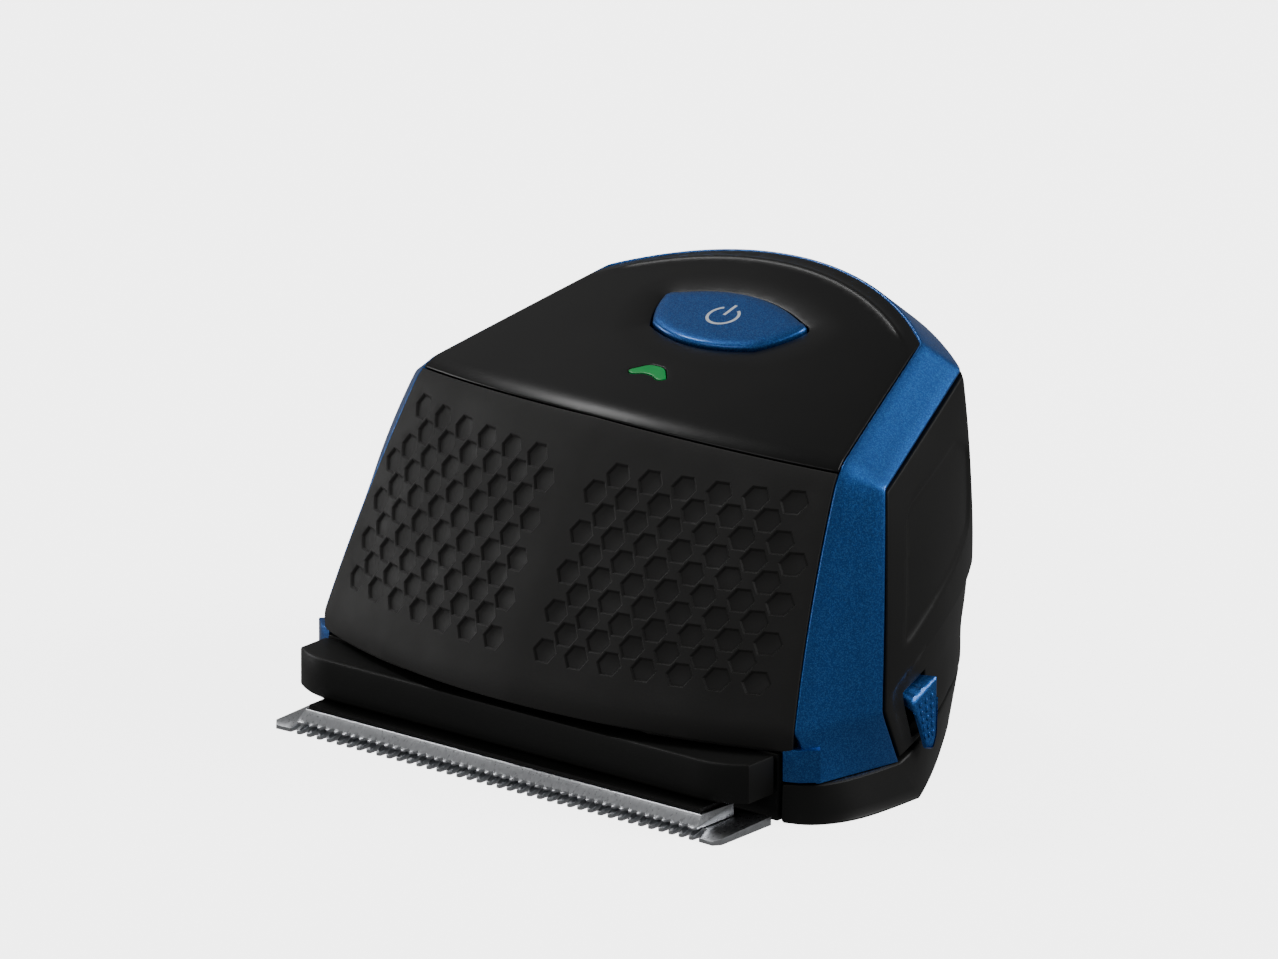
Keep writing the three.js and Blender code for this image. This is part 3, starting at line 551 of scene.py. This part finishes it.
# Top cover: satin shell with the button's dish, lamp opening and a raised back rim.
coverLook = {"buttonY": 43.8, "lampY": 29.0, "dish": 0.5, "dishReach": 5, "rim": 0.22, "rimAt": 2.6,
             "rimHalf": 0.8, "rimEndX": 25, "rimFall": 0.35, "seamGap": 0.06, "buttonGap": 0.28,
             "lampGap": 0.1, "step": 0.8}
roofTilt = math.atan(skin["slope"])


def buttonOutline(m):
    h = 11.9 + m
    parts = [bow((-8.6 - m, -4 - m), (0, -9.2 - m), (8.6 + m, -4 - m), 22),
             bow((8.6 + m, -4 - m), (h - 0.8, -0.8), (h, 2.9), 10),
             bow((h - 0.1, 3.3), (h - 0.5, 3.9 + m), (h - 1.6, 4.15 + m), 4),
             bow((h - 1.9, 4.2 + m), (0, 9.1 + m), (1.9 - h, 4.2 + m), 22),
             bow((1.6 - h, 4.15 + m), (0.5 - h, 3.9 + m), (0.1 - h, 3.3), 4),
             bow((-h, 2.9), (0.8 - h, -0.8), (-8.6 - m, -4 - m), 10)]
    return anticlockwise(np.concatenate(parts))


def lampOutline(m):
    base = [(-3.3, -0.9), (-2.2, -1.6), (-0.8, -0.75), (0.8, -0.75), (2.2, -1.6), (3.3, -0.9),
            (1.3, 1.35), (0, 1.5), (-1.3, 1.35)]
    return insetLoop(softLoop(base, 0.35, 2), -m)


def onRoof(y):  # local points to the roof plane at this Y
    def place(points):
        x, ly, lz = points[:, 0], points[:, 1], points[:, 2]
        c, s = math.cos(roofTilt), math.sin(roofTilt)
        z = roofZ(0, y) + ly * s + lz * c - x ** 2 / (2 * skin["crown"])
        return np.stack([x, y + ly * c - lz * s, z], -1)
    return place


def planOf(local, y):
    return np.stack([local[:, 0], y + local[:, 1] * math.cos(roofTilt)], -1)


def coverPlan(par):
    x, y = par[:, 0], par[:, 1]
    start = np.stack([x / 33, 1 + (y - 20) / 42], -1)
    return coverSurface(solveParams(coverSurface, [0, 1], np.stack([x, y], -1), start))


def makeCover():
    look = coverLook
    seam = skin["seam"] + 0.001
    low = coverRow(np.linspace(-1, 1, 80), seam)
    right = coverRow(1, np.linspace(seam, 2, 60))[1:-1]
    back = coverRow(np.linspace(1, -1, 70), 2)
    left = coverRow(-1, np.linspace(2, seam, 60))[1:-1]
    rim = np.concatenate([low, right, back, left])
    outline = insetLoop(anticlockwise(rim[:, :2]), look["seamGap"])
    buttonHole = planOf(buttonOutline(look["buttonGap"]), look["buttonY"])
    lampHole = planOf(lampOutline(look["lampGap"]), look["lampY"])
    buttonEdge = spread(buttonHole, 0.2)

    def relief(flat):
        away = nearest(flat, buttonEdge)
        dish = look["dish"] * np.clip(1 - away / look["dishReach"], 0, 1) ** 2
        toBack = skin["backY"] - sagitta(skin["backRadius"], flat[:, 0]) - flat[:, 1]
        ridge = np.clip(1 - abs(toBack - look["rimAt"]) / look["rimHalf"], 0, 1)
        rise = look["rim"] * ridge * smooth((look["rimEndX"] - abs(flat[:, 0])) / 3)
        fall = look["rimFall"] * np.clip(1 - toBack / look["rimAt"], 0, 1)
        return rise - dish - fall

    x = np.linspace(-look["rimEndX"], look["rimEndX"], 80)
    backEdge = skin["backY"] - sagitta(skin["backRadius"], x)
    rimLoops = []
    for near, far in ((3.4, 3.0), (2.75, 2.45), (2.2, 1.8)):  # its two feet and its top
        nearSide, farSide = np.stack([x, backEdge - near], -1), np.stack([x, backEdge - far], -1)
        rimLoops.append(np.concatenate([nearSide, farSide[::-1]]))
    made = sheet(coverPlan, outline, [buttonHole, lampHole], rimLoops, look["step"], 2.0, 0.2, relief, core)
    makePiece("topCover", *made, "body", "gloss_black", ["top_cover"], sharp=30)


buttonLook = {"top": 0.26, "roll": 0.3, "rollReach": 1.4, "ring": 2.15, "halfStroke": 0.21, "barLength": 2.7,
              "ringGap": 34, "markShift": 0.4, "inkTop": 0.29}


def makeButton():
    look = buttonLook
    outline = buttonOutline(0)
    loops = [insetLoop(outline, d) for d in (0.5, 0.9, 1.5)]

    def high(flat):  # gently domed, its front edge rolled over
        reach = nearest(flat, spread(outline, 0.15))
        return look["top"] - look["roll"] * np.clip(1 - reach / look["rollReach"], 0, 1) ** 2

    body = slab(outline, level(-1.6), high, loops, 1.2, 0.28, onRoof(coverLook["buttonY"]))
    makePiece("powerButton", *body, "power_button", "blue_lacquer", ["power_button"], sharp=50)
    # printed on and off mark: an open ring with a bar through its gap
    gap, half = math.radians(look["ringGap"]), look["halfStroke"]
    angles = np.linspace(gap, 2 * math.pi - gap, 60) + math.pi / 2
    outer = np.stack([np.cos(angles), np.sin(angles)], -1)
    ring = np.concatenate([outer * (look["ring"] + half), outer[::-1] * (look["ring"] - half)])
    barFoot = 0.2
    barTop = barFoot + look["barLength"]
    bar = np.array([(-half, barFoot), (half, barFoot), (half, barTop), (-half, barTop)])
    parts, place = [], onRoof(coverLook["buttonY"])
    for loop in (ring, bar):
        inked = spread(anticlockwise(loop), 0.4) + [0, look["markShift"]]
        parts.append(slab(inked, level(0.1), level(look["inkTop"]), (), 2.0, 0.02, place))
    makePiece("powerMark", *joined(parts), "power_button", "white_lens", material=printedWhite)


def makeLamp():
    outline = lampOutline(0)
    place = onRoof(coverLook["lampY"])
    made = slab(outline, level(-1.7), level(0.03), [insetLoop(outline, 0.3)], 1.2, 0.12, place)
    makePiece("chargeLampWindow", *made, "body", "green_lens", ["charge_lamp_window"])


# Blue trim frame: one bevelled band from foot to foot round the body.
frameLook = {"edge": 0.35, "step": 0.5, "thickness": 2.0, "tabLow": 5.75, "tabHigh": 10.3,
             "tab": [(38.6, 8.9), (40.6, 9.7), (42.7, 11.7), (41.1, 13.6), (38.6, 10.9)]}


def runLength(rows):  # distance along a polyline at each of its points
    return np.concatenate([[0], np.cumsum(np.linalg.norm(np.diff(rows, axis=0), axis=1))])


def makeFrame():
    look = frameLook
    t = np.linspace(0, 1, 14)[:-1][:, None]
    stretches = ((0.06, 0.9, 60), (0.905, 1.12, 40), (1.13, 1.99, 60))  # denser round the shoulder
    p = np.concatenate([np.linspace(*stretch) for stretch in stretches])
    s = np.linspace(1, 0, 50)
    inner = np.concatenate([mix(footInner, foldInner, t), coverRow(1, p), coverRow(s, 2)])
    outer = np.concatenate([mix(footOuter, foldOuter, t), frameOuter(p), frameBack(s)])
    inner = np.concatenate([inner, (inner * [-1, 1, 1])[-2::-1]])
    outer = np.concatenate([outer, (outer * [-1, 1, 1])[-2::-1]])
    middle = (inner + outer) / 2
    run = runLength(middle)
    at = np.linspace(0, run[-1], int(run[-1] / look["step"]))
    inner = np.stack([np.interp(at, run, inner[:, i]) for i in range(3)], -1)
    outer = np.stack([np.interp(at, run, outer[:, i]) for i in range(3)], -1)
    for rail in (inner, outer):  # soft creases
        rail[1:-1] = (rail[:-2] + 2 * rail[1:-1] + rail[2:]) / 4
    across = outer - inner
    width = np.linalg.norm(across, axis=1, keepdims=True)
    across /= width
    along = unit(np.gradient((inner + outer) / 2, axis=0))
    normal = unit(np.cross(along, across))
    normal[((inner - core) * normal).sum(1) < 0] *= -1
    inner, outer = inner + across * skin["gap"], outer - across * skin["gap"]
    width = width - 2 * skin["gap"]
    near = np.array([0, 0.04, 0.12, 0.3, 0.6, 1.0]) * look["edge"]
    columns = [inner + across * d - normal * edgeDrop(d, look["edge"]) for d in near]
    columns += [inner + across * width * f for f in (0.25, 0.5, 0.75)]
    columns += [outer - across * d - normal * edgeDrop(d, look["edge"]) for d in near[::-1]]
    columns += [outer - normal * look["thickness"], inner - normal * look["thickness"]]
    grid = np.stack(columns, 1)
    count, wide = grid.shape[:2]
    faces = []
    for i in range(count - 1):
        for j in range(wide):
            k = (j + 1) % wide
            faces.append((i * wide + j, i * wide + k, (i + 1) * wide + k, (i + 1) * wide + j))
    faces += [tuple(range(wide)), tuple((count - 1) * wide + j for j in range(wide))]
    parts = [(grid.reshape(-1, 3), faces)]
    for side in (1, -1):
        tab = spread(anticlockwise(np.array(look["tab"]) * [side, 1]), 0.8)
        parts.append(slab(tab, level(look["tabLow"]), level(look["tabHigh"]), (), 2.0, 0.2))
    makePiece("trimFrame", *joined(parts), "body", "blue_lacquer", ["trim_frame"], sharp=35)


# Rear housing: wraps the sides and back, with finger panels and the slider's slot.
rearLook = {"halfRun": 66.0, "rise": 38.0, "step": 0.75, "panel": 0.3, "panelEdge": 0.75, "overhang": 0.7,
            "ledge": 0.8, "socket": 4.1, "socketZ": 16,
            "panelPlan": [(61.6, 13.6), (59.6, 32.0), (39.2, 32.8), (33, 30), (35, 21), (44.7, 17.9)],
            "stepLine": [(63.3, 9.6), (36.8, 14.0)]}
seamPlan = [(45, 25.5), (44.3, 37), (33.5, 52.5), (25, 62.5), (0, 62.5)]
beltPlan = [(43.6, 24.5), (42.5, 40), (34, 54.5), (26, 67), (0, 67)]
footPlan = [(46.5, 28), (41.8, 37.2), (33, 50.5), (24, 60.5), (0, 60.5)]
seamRise = 0.325  # share of the way round over which the seam climbs
seamFront, seamBack, beltZ = 5.6, 9.4, 27
foldShare, easeShare = 0.2, 0.3


def planCurve(plan, frontZ, backZ, q):
    at = np.array(plan, float)
    t = q[:, None]
    flat = np.where(t <= 0.5, quad(at[0], at[1], at[2], 2 * t), quad(at[2], at[3], at[4], 2 * t - 1))
    return np.column_stack([flat, mix(frontZ, backZ, np.minimum(1, q / seamRise))])


def rearSurface(par):  # rows of (-1 to 1 round the body from left to right, 0 to 1 up)
    q, h = 1 - np.minimum(abs(par[:, 0]), 1), par[:, 1:2]
    low = planCurve(seamPlan, seamFront, seamBack, q)
    middle = planCurve(beltPlan, beltZ, beltZ, q)
    high = np.where((q <= 0.5)[:, None], frameOuter(1 + 2 * q), frameBack(2 - 2 * q))
    point = quad(low, 2 * middle - 0.5 * low - 0.5 * high, high, h)
    # near the frame the surface is eased onto the frame's outer edge
    belt = planCurve(beltPlan, beltZ, beltZ, np.zeros(len(q)))
    start = quad(footOuter, 2 * belt - 0.5 * footOuter - 0.5 * shoulder, shoulder, h)
    aboveFold = mix(foldAt, 1, (h[:, 0] - foldShare) / (1 - foldShare))
    edge = np.where(h < foldShare, mix(footOuter, foldOuter, h / foldShare), frameOuter(aboveFold))
    ease = (np.clip(1 - q / easeShare, 0, 1) ** 2)[:, None]
    point = point + (edge - start) * ease
    return point * np.where(par[:, 0:1] < 0, [-1, 1, 1], [1, 1, 1])


def rearFlat(par):
    return rearSurface(par / [rearLook["halfRun"], rearLook["rise"]])


def rearSpot(yz):  # domain point of a (Y, Z) on the right side
    yz = np.array(yz, float)
    start = np.stack([1 - (yz[:, 0] - 26) / 66, (yz[:, 1] - 6) / 38], -1)
    found = solveParams(rearSurface, [1, 2], yz, start)
    return found * [rearLook["halfRun"], rearLook["rise"]]


# The slider's root in its slot, and the four corners of its narrower face (low pair, high pair).
sliderLook = {"y": 30.6, "z": 10.4, "proudX": 44.4, "flare": 1.8, "thickness": 0.7, "tongue": 0.4,
              "depth": 2.2, "root": [(-2.6, 3.6), (-1.4, -4.6), (1.2, -5.2), (2.4, -3.6), (2.4, 4.8)],
              "face": [(29.0, 6.3), (31.6, 6.2), (28.4, 13.3), (34.3, 15.2)],
              "slotTop": [(27.55, 14.35), (33.9, 15.6)], "slotFoot": [(28.6, 8.0), (33.9, 8.0)],
              "ribColumns": 3, "ribRows": 5, "ribAcross": 1.15, "ribDown": 1.35, "ribRadii": (0.3, 0.48)}


def makeRear():
    look = rearLook
    u0, v0, v1 = 0.9955 * look["halfRun"], 0.014 * look["rise"], 0.988 * look["rise"]
    outline = spread(np.array([(-u0, v0), (u0, v0), (u0, v1), (-u0, v1)]), 0.9)
    # the slider's slot, which ends above the base seam
    top, foot = rearSpot(sliderLook["slotTop"]), rearSpot(sliderLook["slotFoot"])
    slot = spread(np.array([foot[0], foot[1], top[1], top[0]]), 0.7)
    slot = slot[slot[:, 1] > v0 + 0.5]
    turns = np.linspace(0, 2 * math.pi, 32, False)
    socket = [0, look["socketZ"]] + look["socket"] * np.stack([np.cos(turns), np.sin(turns)], -1)
    start = np.stack([socket[:, 0] / 50, (socket[:, 1] - 9) / 45], -1)
    socketHole = solveParams(rearSurface, [0, 2], socket, start) * [look["halfRun"], look["rise"]]
    panel = softLoop(look["panelPlan"], 0.8, 6)
    mirrored = anticlockwise(panel * [-1, 1])
    bevels = [insetLoop(p, d) for p in (panel, mirrored) for d in (0, 0.35, look["panelEdge"])]
    (stepX, stepZ), (endX, endZ) = look["stepLine"]

    def ledgeLine(x):  # height of the overhang's edge
        return stepZ + (x - stepX) * (endZ - stepZ) / (endX - stepX)

    run, halfLedge = np.linspace(23, 56, 56), look["ledge"] / 2
    below, above = (np.stack([run, ledgeLine(run) + side * halfLedge], -1) for side in (-1, 1))
    band = np.concatenate([below, above[::-1]])
    bevels += [band, anticlockwise(band * [-1, 1])]

    def relief(flat):
        folded = flat * np.where(flat[:, 0:1] < 0, [-1, 1], [1, 1])
        within = inside(panel, folded)
        ramp = smooth(nearest(folded, spread(panel, 0.2)) / look["panelEdge"])
        depth = np.where(within, ramp, 0) * look["panel"]
        under = ledgeLine(folded[:, 0]) - folded[:, 1]
        ends = smooth((64.5 - folded[:, 0]) / 2) * smooth((folded[:, 0] - 22) / 10)
        rest = smooth(folded[:, 1] / 7)
        return -depth - look["overhang"] * smooth(under / look["ledge"] + 0.5) * ends * rest

    made = sheet(rearFlat, outline, [slot, socketHole], bevels, look["step"], 2.0, 0.25, relief, core)
    makePiece("rearHousing", *made, "body", "black_plastic", ["rear_housing"], sharp=38)


def makeSlider():  # tapered blue key with rows of small ribs
    look = sliderLook
    outline = spread(anticlockwise(look["root"]), 0.5)
    outline = (np.roll(outline, 1, 0) + 2 * outline + np.roll(outline, -1, 0)) / 4
    corner, span = np.array([-2.6, -5.2]), np.array([5, 10])
    lowFront, lowBack, highFront, highBack = np.array(look["face"])

    def place(points):  # local (y, z, outwards) to the right side, narrowing towards the face
        share = np.clip((points[:, 2] + 0.5) / 1.2, 0, 1)[:, None]
        shares = (points[:, :2] - corner) / span
        across, up = shares[:, :1], shares[:, 1:]
        face = mix(mix(lowFront, lowBack, across), mix(highFront, highBack, across), up)
        spot = mix(points[:, :2] + [look["y"], look["z"]], face, share)
        flare = look["flare"] * (1 - np.clip(up[:, 0], 0, 1))
        return np.column_stack([look["proudX"] - look["thickness"] + flare + points[:, 2], spot])

    def underside(flat):  # a thin tongue over the base seam, a deep block in the slot above it
        return mix(look["tongue"], -look["depth"], smooth((flat[:, 1] - 1.7) / 0.6))

    parts = [slab(outline, underside, level(look["thickness"]), [insetLoop(outline, 0.5)], 1.5, 0.35, place)]
    angles = np.linspace(0, 2 * math.pi, 14, False)
    oval = np.stack([np.cos(angles), np.sin(angles)], -1) * look["ribRadii"]
    for column in range(look["ribColumns"]):
        for row in range(look["ribRows"]):
            centre = [look["ribAcross"] * (column - 1), 2.5 - look["ribDown"] * row]
            parts.append(slab(oval + centre, level(0.4), level(0.86), (), 1.0, 0.14, place))
    makePiece("sideSlider", *joined(parts), "side_slider", "blue_lacquer", ["side_slider"], sharp=40)


# Base housing: dark foot with a soft ridge at each front corner.
baseLook = {"floor": 1.8, "wall": 2.6, "screws": [(-31, 18), (31, 18), (-27, 47), (27, 47)], "bore": 2.9,
            "footNose": [(38.6, 8.7), (42, 9.8), (44.6, 13), (46, 17.2), (46.4, 22.7), (46.5, 28)],
            "rimNose": [(38.6, 8.9), (42.3, 11.4), (43.6, 14.4), (44.3, 17.6), (44.8, 21.5), (45, 25.5)]}


def softened(rows, times):  # a polyline with more points, rounded corners, same ends
    rows = np.array(rows, float)
    for _ in range(times):
        quarter, late = mix(rows[:-1], rows[1:], 0.25), mix(rows[:-1], rows[1:], 0.75)
        cut = np.stack([quarter, late], 1).reshape(-1, rows.shape[1])
        rows = np.concatenate([rows[:1], cut, rows[-1:]])
    return rows


def baseRing(nose, plan, frontZ, backZ):
    front = softened(nose, 2)
    front = np.column_stack([front, np.full(len(front), frontZ)])
    q = np.linspace(0, 1, 33)[1:]
    right = np.concatenate([[(38.6, 9.6, frontZ)], front, planCurve(plan, frontZ, backZ, q)])
    return np.concatenate([right, (right * [-1, 1, 1])[-2::-1]])


def insetRing(ring, amount, z=None):
    moved = np.column_stack([insetLoop(ring[:, :2], amount), ring[:, 2]])
    if z is not None:
        moved[:, 2] = z
    return moved


def boxAt(x0, x1, y0, y1, z0, z1, edge=0.3):
    outline = spread(np.array([(x0, y0), (x1, y0), (x1, y1), (x0, y1)]), 2.0)
    return slab(outline, level(z0), level(z1), (), 4.0, edge)


def makeBase():
    look = baseLook
    foot = baseRing(look["footNose"], footPlan, 0, 0)
    rim = baseRing(look["rimNose"], seamPlan, seamFront, seamBack)
    rim[:, 2] -= skin["gap"]
    rings = [insetRing(foot, 0.6, 0), insetRing(foot, 0.2, 0.12), insetRing(foot, 0.03, 0.4)]
    rings += [mix(foot, rim, f) for f in (0.12, 0.3, 0.5, 0.7, 0.9, 0.955)]
    topEdge = insetRing(rim, 0.08)
    topEdge[:, 2] -= 0.1
    rings += [topEdge, insetRing(rim, 0.3), insetRing(rim, look["wall"])]
    rings.append(insetRing(foot, look["wall"], look["floor"]))
    count = len(foot)
    points = np.concatenate(rings)
    faces = []
    for k in range(len(rings) - 1):
        for i in range(count):
            j = (i + 1) % count
            faces.append((k * count + i, k * count + j, (k + 1) * count + j, (k + 1) * count + i))
    angles = np.linspace(0, 2 * math.pi, 24, False)
    bore = look["bore"] * np.stack([np.cos(angles), np.sin(angles)], -1)
    circles = [bore + centre for centre in look["screws"]]
    bottom = triangulate(rings[0][:, :2], circles, [], 4)
    floor = triangulate(rings[-1][:, :2], circles, [], 6)
    parts = [(points, faces)]
    for (flat, tris), z in ((bottom, 0.0), (floor, look["floor"])):
        parts.append((np.column_stack([flat, np.full(len(flat), z)]), [tuple(f) for f in tris]))
    for circle in circles:
        lower = np.column_stack([circle, np.zeros(len(circle))])
        upper = np.column_stack([circle, np.full(len(circle), look["floor"])])
        n = len(circle)
        wall = [(i, (i + 1) % n, n + (i + 1) % n, n + i) for i in range(n)]
        parts.append((np.concatenate([lower, upper]), wall))
    parts.append(boxAt(-38.2, 38.2, 8.3, 9.9, 0.3, 9.7))
    parts.append(boxAt(-29, 29, 8.5, 9.9, 9.0, 12.6))
    front = [(x, frontY(np.array(x), np.array(13.4)) + 2.7) for x in np.linspace(-29, 29, 24)]
    shelf = np.array(front + [(29, 9.9), (-29, 9.9)])
    parts.append(slab(spread(anticlockwise(shelf), 2), level(12), level(13.4), (), 4.0, 0.2))
    makePiece("baseHousing", *joined(parts), "body", "black_plastic", ["base_housing"], sharp=24)


# Blade head and blades.
headLook = {"half": 38.1, "lowZ": 4.2, "topZ": 9.65, "backY": 7.6, "plateTop": 1.22}
fixedLook = {"half": 37.9, "teethHalf": 35.6, "pitch": 1.71, "gap": 0.8, "tipY": bladeTipY, "rootY": -1.7,
             "corner": 1.0, "backY": 7.4, "top": 1.2, "tip": 0.55}
movingLook = {"half": 34, "teethHalf": 33, "pitch": 1.43, "gap": 0.62, "tipY": -3.6, "rootY": -3.1,
              "corner": 0.4, "backY": 4.4, "low": 1.35, "bevelY": (-3.6, -3.05, -1.95),
              "bevelZ": (1.62, 1.75, 3.0)}


def makeHead():
    head = headLook
    h = head["half"]
    side = np.concatenate([bow((31.2, 0), (34.9, 0), (h, 2.5), 14), [(h, 2.45), (h, head["backY"])]])
    outline = np.concatenate([side, (side * [-1, 1])[::-1]])
    outline = spread(anticlockwise(outline), 1.2)
    parts = [slab(outline, level(head["lowZ"]), level(head["topZ"]), [insetLoop(outline, 0.6)], 3.0, 0.34)]
    for x in (-35, 35):
        parts.append(boxAt(x - 2, x + 2, head["backY"] - 0.5, 11.2, 4.6, 7.6))
    for x in (-28, 28):
        parts.append(boxAt(x - 2.5, x + 2.5, 4.9, 7.3, head["plateTop"], 4.5, 0.15))
    makePiece("bladeHead", *joined(parts), "body", "black_plastic", ["blade_head"], sharp=40)


def toothedFront(look):  # the row of teeth from left to right
    half, pitch, tipY, rootY, corner = (look[key] for key in ("half", "pitch", "tipY", "rootY", "corner"))
    count = int(2 * look["teethHalf"] / pitch)
    wide, narrow = look["gap"] * 0.62, look["gap"] * 0.42
    gullet = [(-wide - 0.05, tipY + 0.12), (-wide + 0.06, tipY + 0.3), (-narrow, rootY), (0, rootY + 0.14),
              (narrow, rootY), (wide - 0.06, tipY + 0.3), (wide + 0.05, tipY + 0.12)]
    rows = [(-half, tipY + corner), (-half + corner * 0.8, tipY)]
    for i in range(count):
        x = (i - (count - 1) / 2) * pitch
        rows += [(x + dx, y) for dx, y in gullet]
        if i < count - 1:
            rows.append((x + pitch / 2, tipY))
    return rows + [(half - corner * 0.8, tipY), (half, tipY + corner)]


def bladeOutline(look):
    half, backY = look["half"], look["backY"]
    return anticlockwise(toothedFront(look) + [(half, backY), (-half, backY)])


def makeFixedBlade():
    look = fixedLook

    def high(flat):  # each tooth thins towards its tip
        return mix(look["top"], look["tip"], smooth((-1.9 - flat[:, 1]) / 2.0))

    made = slab(bladeOutline(look), level(0), high, (), 1.6, 0.06)
    makePiece("stationaryBlade", *made, "body", "blade_steel", ["stationary_blade"], sharp=30)


def makeMovingBlade():
    look, inner = movingLook, movingLook["half"] - 0.4
    creases = [spread(np.array([(-inner, y), (inner, y), (inner, y + 0.1), (-inner, y + 0.1)]), 1.5)
               for y in (-3, -2)]

    def high(flat):  # a bevel from the tips up to the flat back
        return np.interp(flat[:, 1], look["bevelY"], look["bevelZ"])

    made = slab(bladeOutline(look), level(look["low"]), high, creases, 1.6, 0.05)
    makePiece("movingBlade", *made, "cutter", "blade_steel", ["moving_blade"], sharp=25)


# Carried-over pieces keep their shape and take their slot's finish; the cutter carrier is made matte black.
def finishCarriedOver():
    record = frame["record"]
    finishes = {part["node"]: part["material_slot"] for part in record["subparts"]}
    for name, node in frame["nodes"].items():
        if node.hide_render:
            continue
        node.data.materials.clear()
        # the cutter carrier gets matte black, darkening the band between the head and the moving blade
        node.data.materials.append(matteAbs if name == "cutter_carrier" else slotLooks[finishes[name]])
        soften = node.modifiers.new("softEdges", "BEVEL")
        soften.width = 0.00012
        soften.segments = 2
        soften.limit_method = "ANGLE"
        soften.angle_limit = math.radians(40)
    print("carried over", sum(not n.hide_render for n in frame["nodes"].values()))


makeGrip()
makeCover()
makeButton()
makeLamp()
makeFrame()
makeRear()
makeSlider()
makeBase()
makeHead()
makeFixedBlade()
makeMovingBlade()
finishCarriedOver()

# Stage: pale floor, studio light and camera.
stageLook = {"floor": "#f8f8f8", "floorGlow": 4.0, "floorReach": 4.0, "world": 0.2}
cameraLook = {"azimuth": 39.3595, "elevation": 19.1382, "distance": 3.154, "lens": 675.2,
              "aimRight": 0.01679, "aimUp": 0.03947}
floorMesh = bpy.data.meshes.new("floor")
reach = stageLook["floorReach"]
floorCorners = [(x * reach, y * reach, 0) for x, y in ((-1, -1), (1, -1), (1, 1), (-1, 1))]
floorMesh.from_pydata(floorCorners, [], [(0, 1, 2, 3)])
floor = bpy.data.objects.new("floor", floorMesh)
bpy.context.scene.collection.objects.link(floor)
floorMaterial, floorTree, _ = startMaterial("pale paper")
floorShader = addNode(floorTree, "ShaderNodeBsdfPrincipled", {
    "Base Color": linear(stageLook["floor"]), "Roughness": 0.9, "Specular IOR Level": 0.1,
    "Emission Color": (1, 1, 1, 1), "Emission Strength": stageLook["floorGlow"]})
addNode(floorTree, "ShaderNodeOutputMaterial", None, {"Surface": (floorShader, "BSDF")})
floorMesh.materials.append(floorMaterial)
floor.visible_diffuse = False
floor.visible_glossy = False

world = bpy.data.worlds.new("studio")
bpy.context.scene.world = world
world.use_nodes = True
world.node_tree.nodes["Background"].inputs["Color"].default_value = (1, 1, 1, 1)
world.node_tree.nodes["Background"].inputs["Strength"].default_value = stageLook["world"]


def softbox(name, place, size, watts):
    light = bpy.data.lights.new(name, "AREA")
    light.shape = "RECTANGLE"
    light.size, light.size_y = size
    light.energy = watts
    lamp = bpy.data.objects.new(name, light)
    bpy.context.scene.collection.objects.link(lamp)
    lamp.location = place
    lamp.rotation_euler = (Vector((0, 0, 0.03)) - lamp.location).to_track_quat("-Z", "Y").to_euler()


# The first lights the top, the second draws the edges, the last two fill the front and left.
softbox("topRear", (0.8, 0.65, 0.75), (0.6, 0.4), 9)
softbox("edgeFront", (-0.81, 0.11, 1.07), (0.25, 0.25), 3.5)
softbox("frontFill", (-0.2, -1.0, 0.75), (0.7, 0.5), 2.5)
softbox("leftEdge", (-1.2, -0.3, 0.2), (0.3, 0.5), 3)

azimuth, elevation = math.radians(cameraLook["azimuth"]), math.radians(cameraLook["elevation"])
right = Vector((math.cos(azimuth), math.sin(azimuth), 0))
away = Vector((math.sin(azimuth) * math.cos(elevation), -math.cos(azimuth) * math.cos(elevation),
               math.sin(elevation)))
upward = away.cross(right)
anchor = Vector((0, -bodyShift / 1000, 0))
cameraData = bpy.data.cameras.new("camera")
cameraData.lens = cameraLook["lens"]
cameraData.sensor_width = 36
cameraData.clip_end = 100
camera = bpy.data.objects.new("camera", cameraData)
bpy.context.scene.collection.objects.link(camera)
camera.location = anchor + away * cameraLook["distance"]
target = anchor + right * cameraLook["aimRight"] + upward * cameraLook["aimUp"]
looking = (target - camera.location).normalized()
sideways = looking.cross(upward).normalized()
trueUp = sideways.cross(looking)
turned = Matrix((sideways, trueUp, -looking)).transposed()
camera.matrix_world = Matrix.Translation(camera.location) @ turned.to_4x4()
bpy.context.scene.camera = camera
print("stage ready")
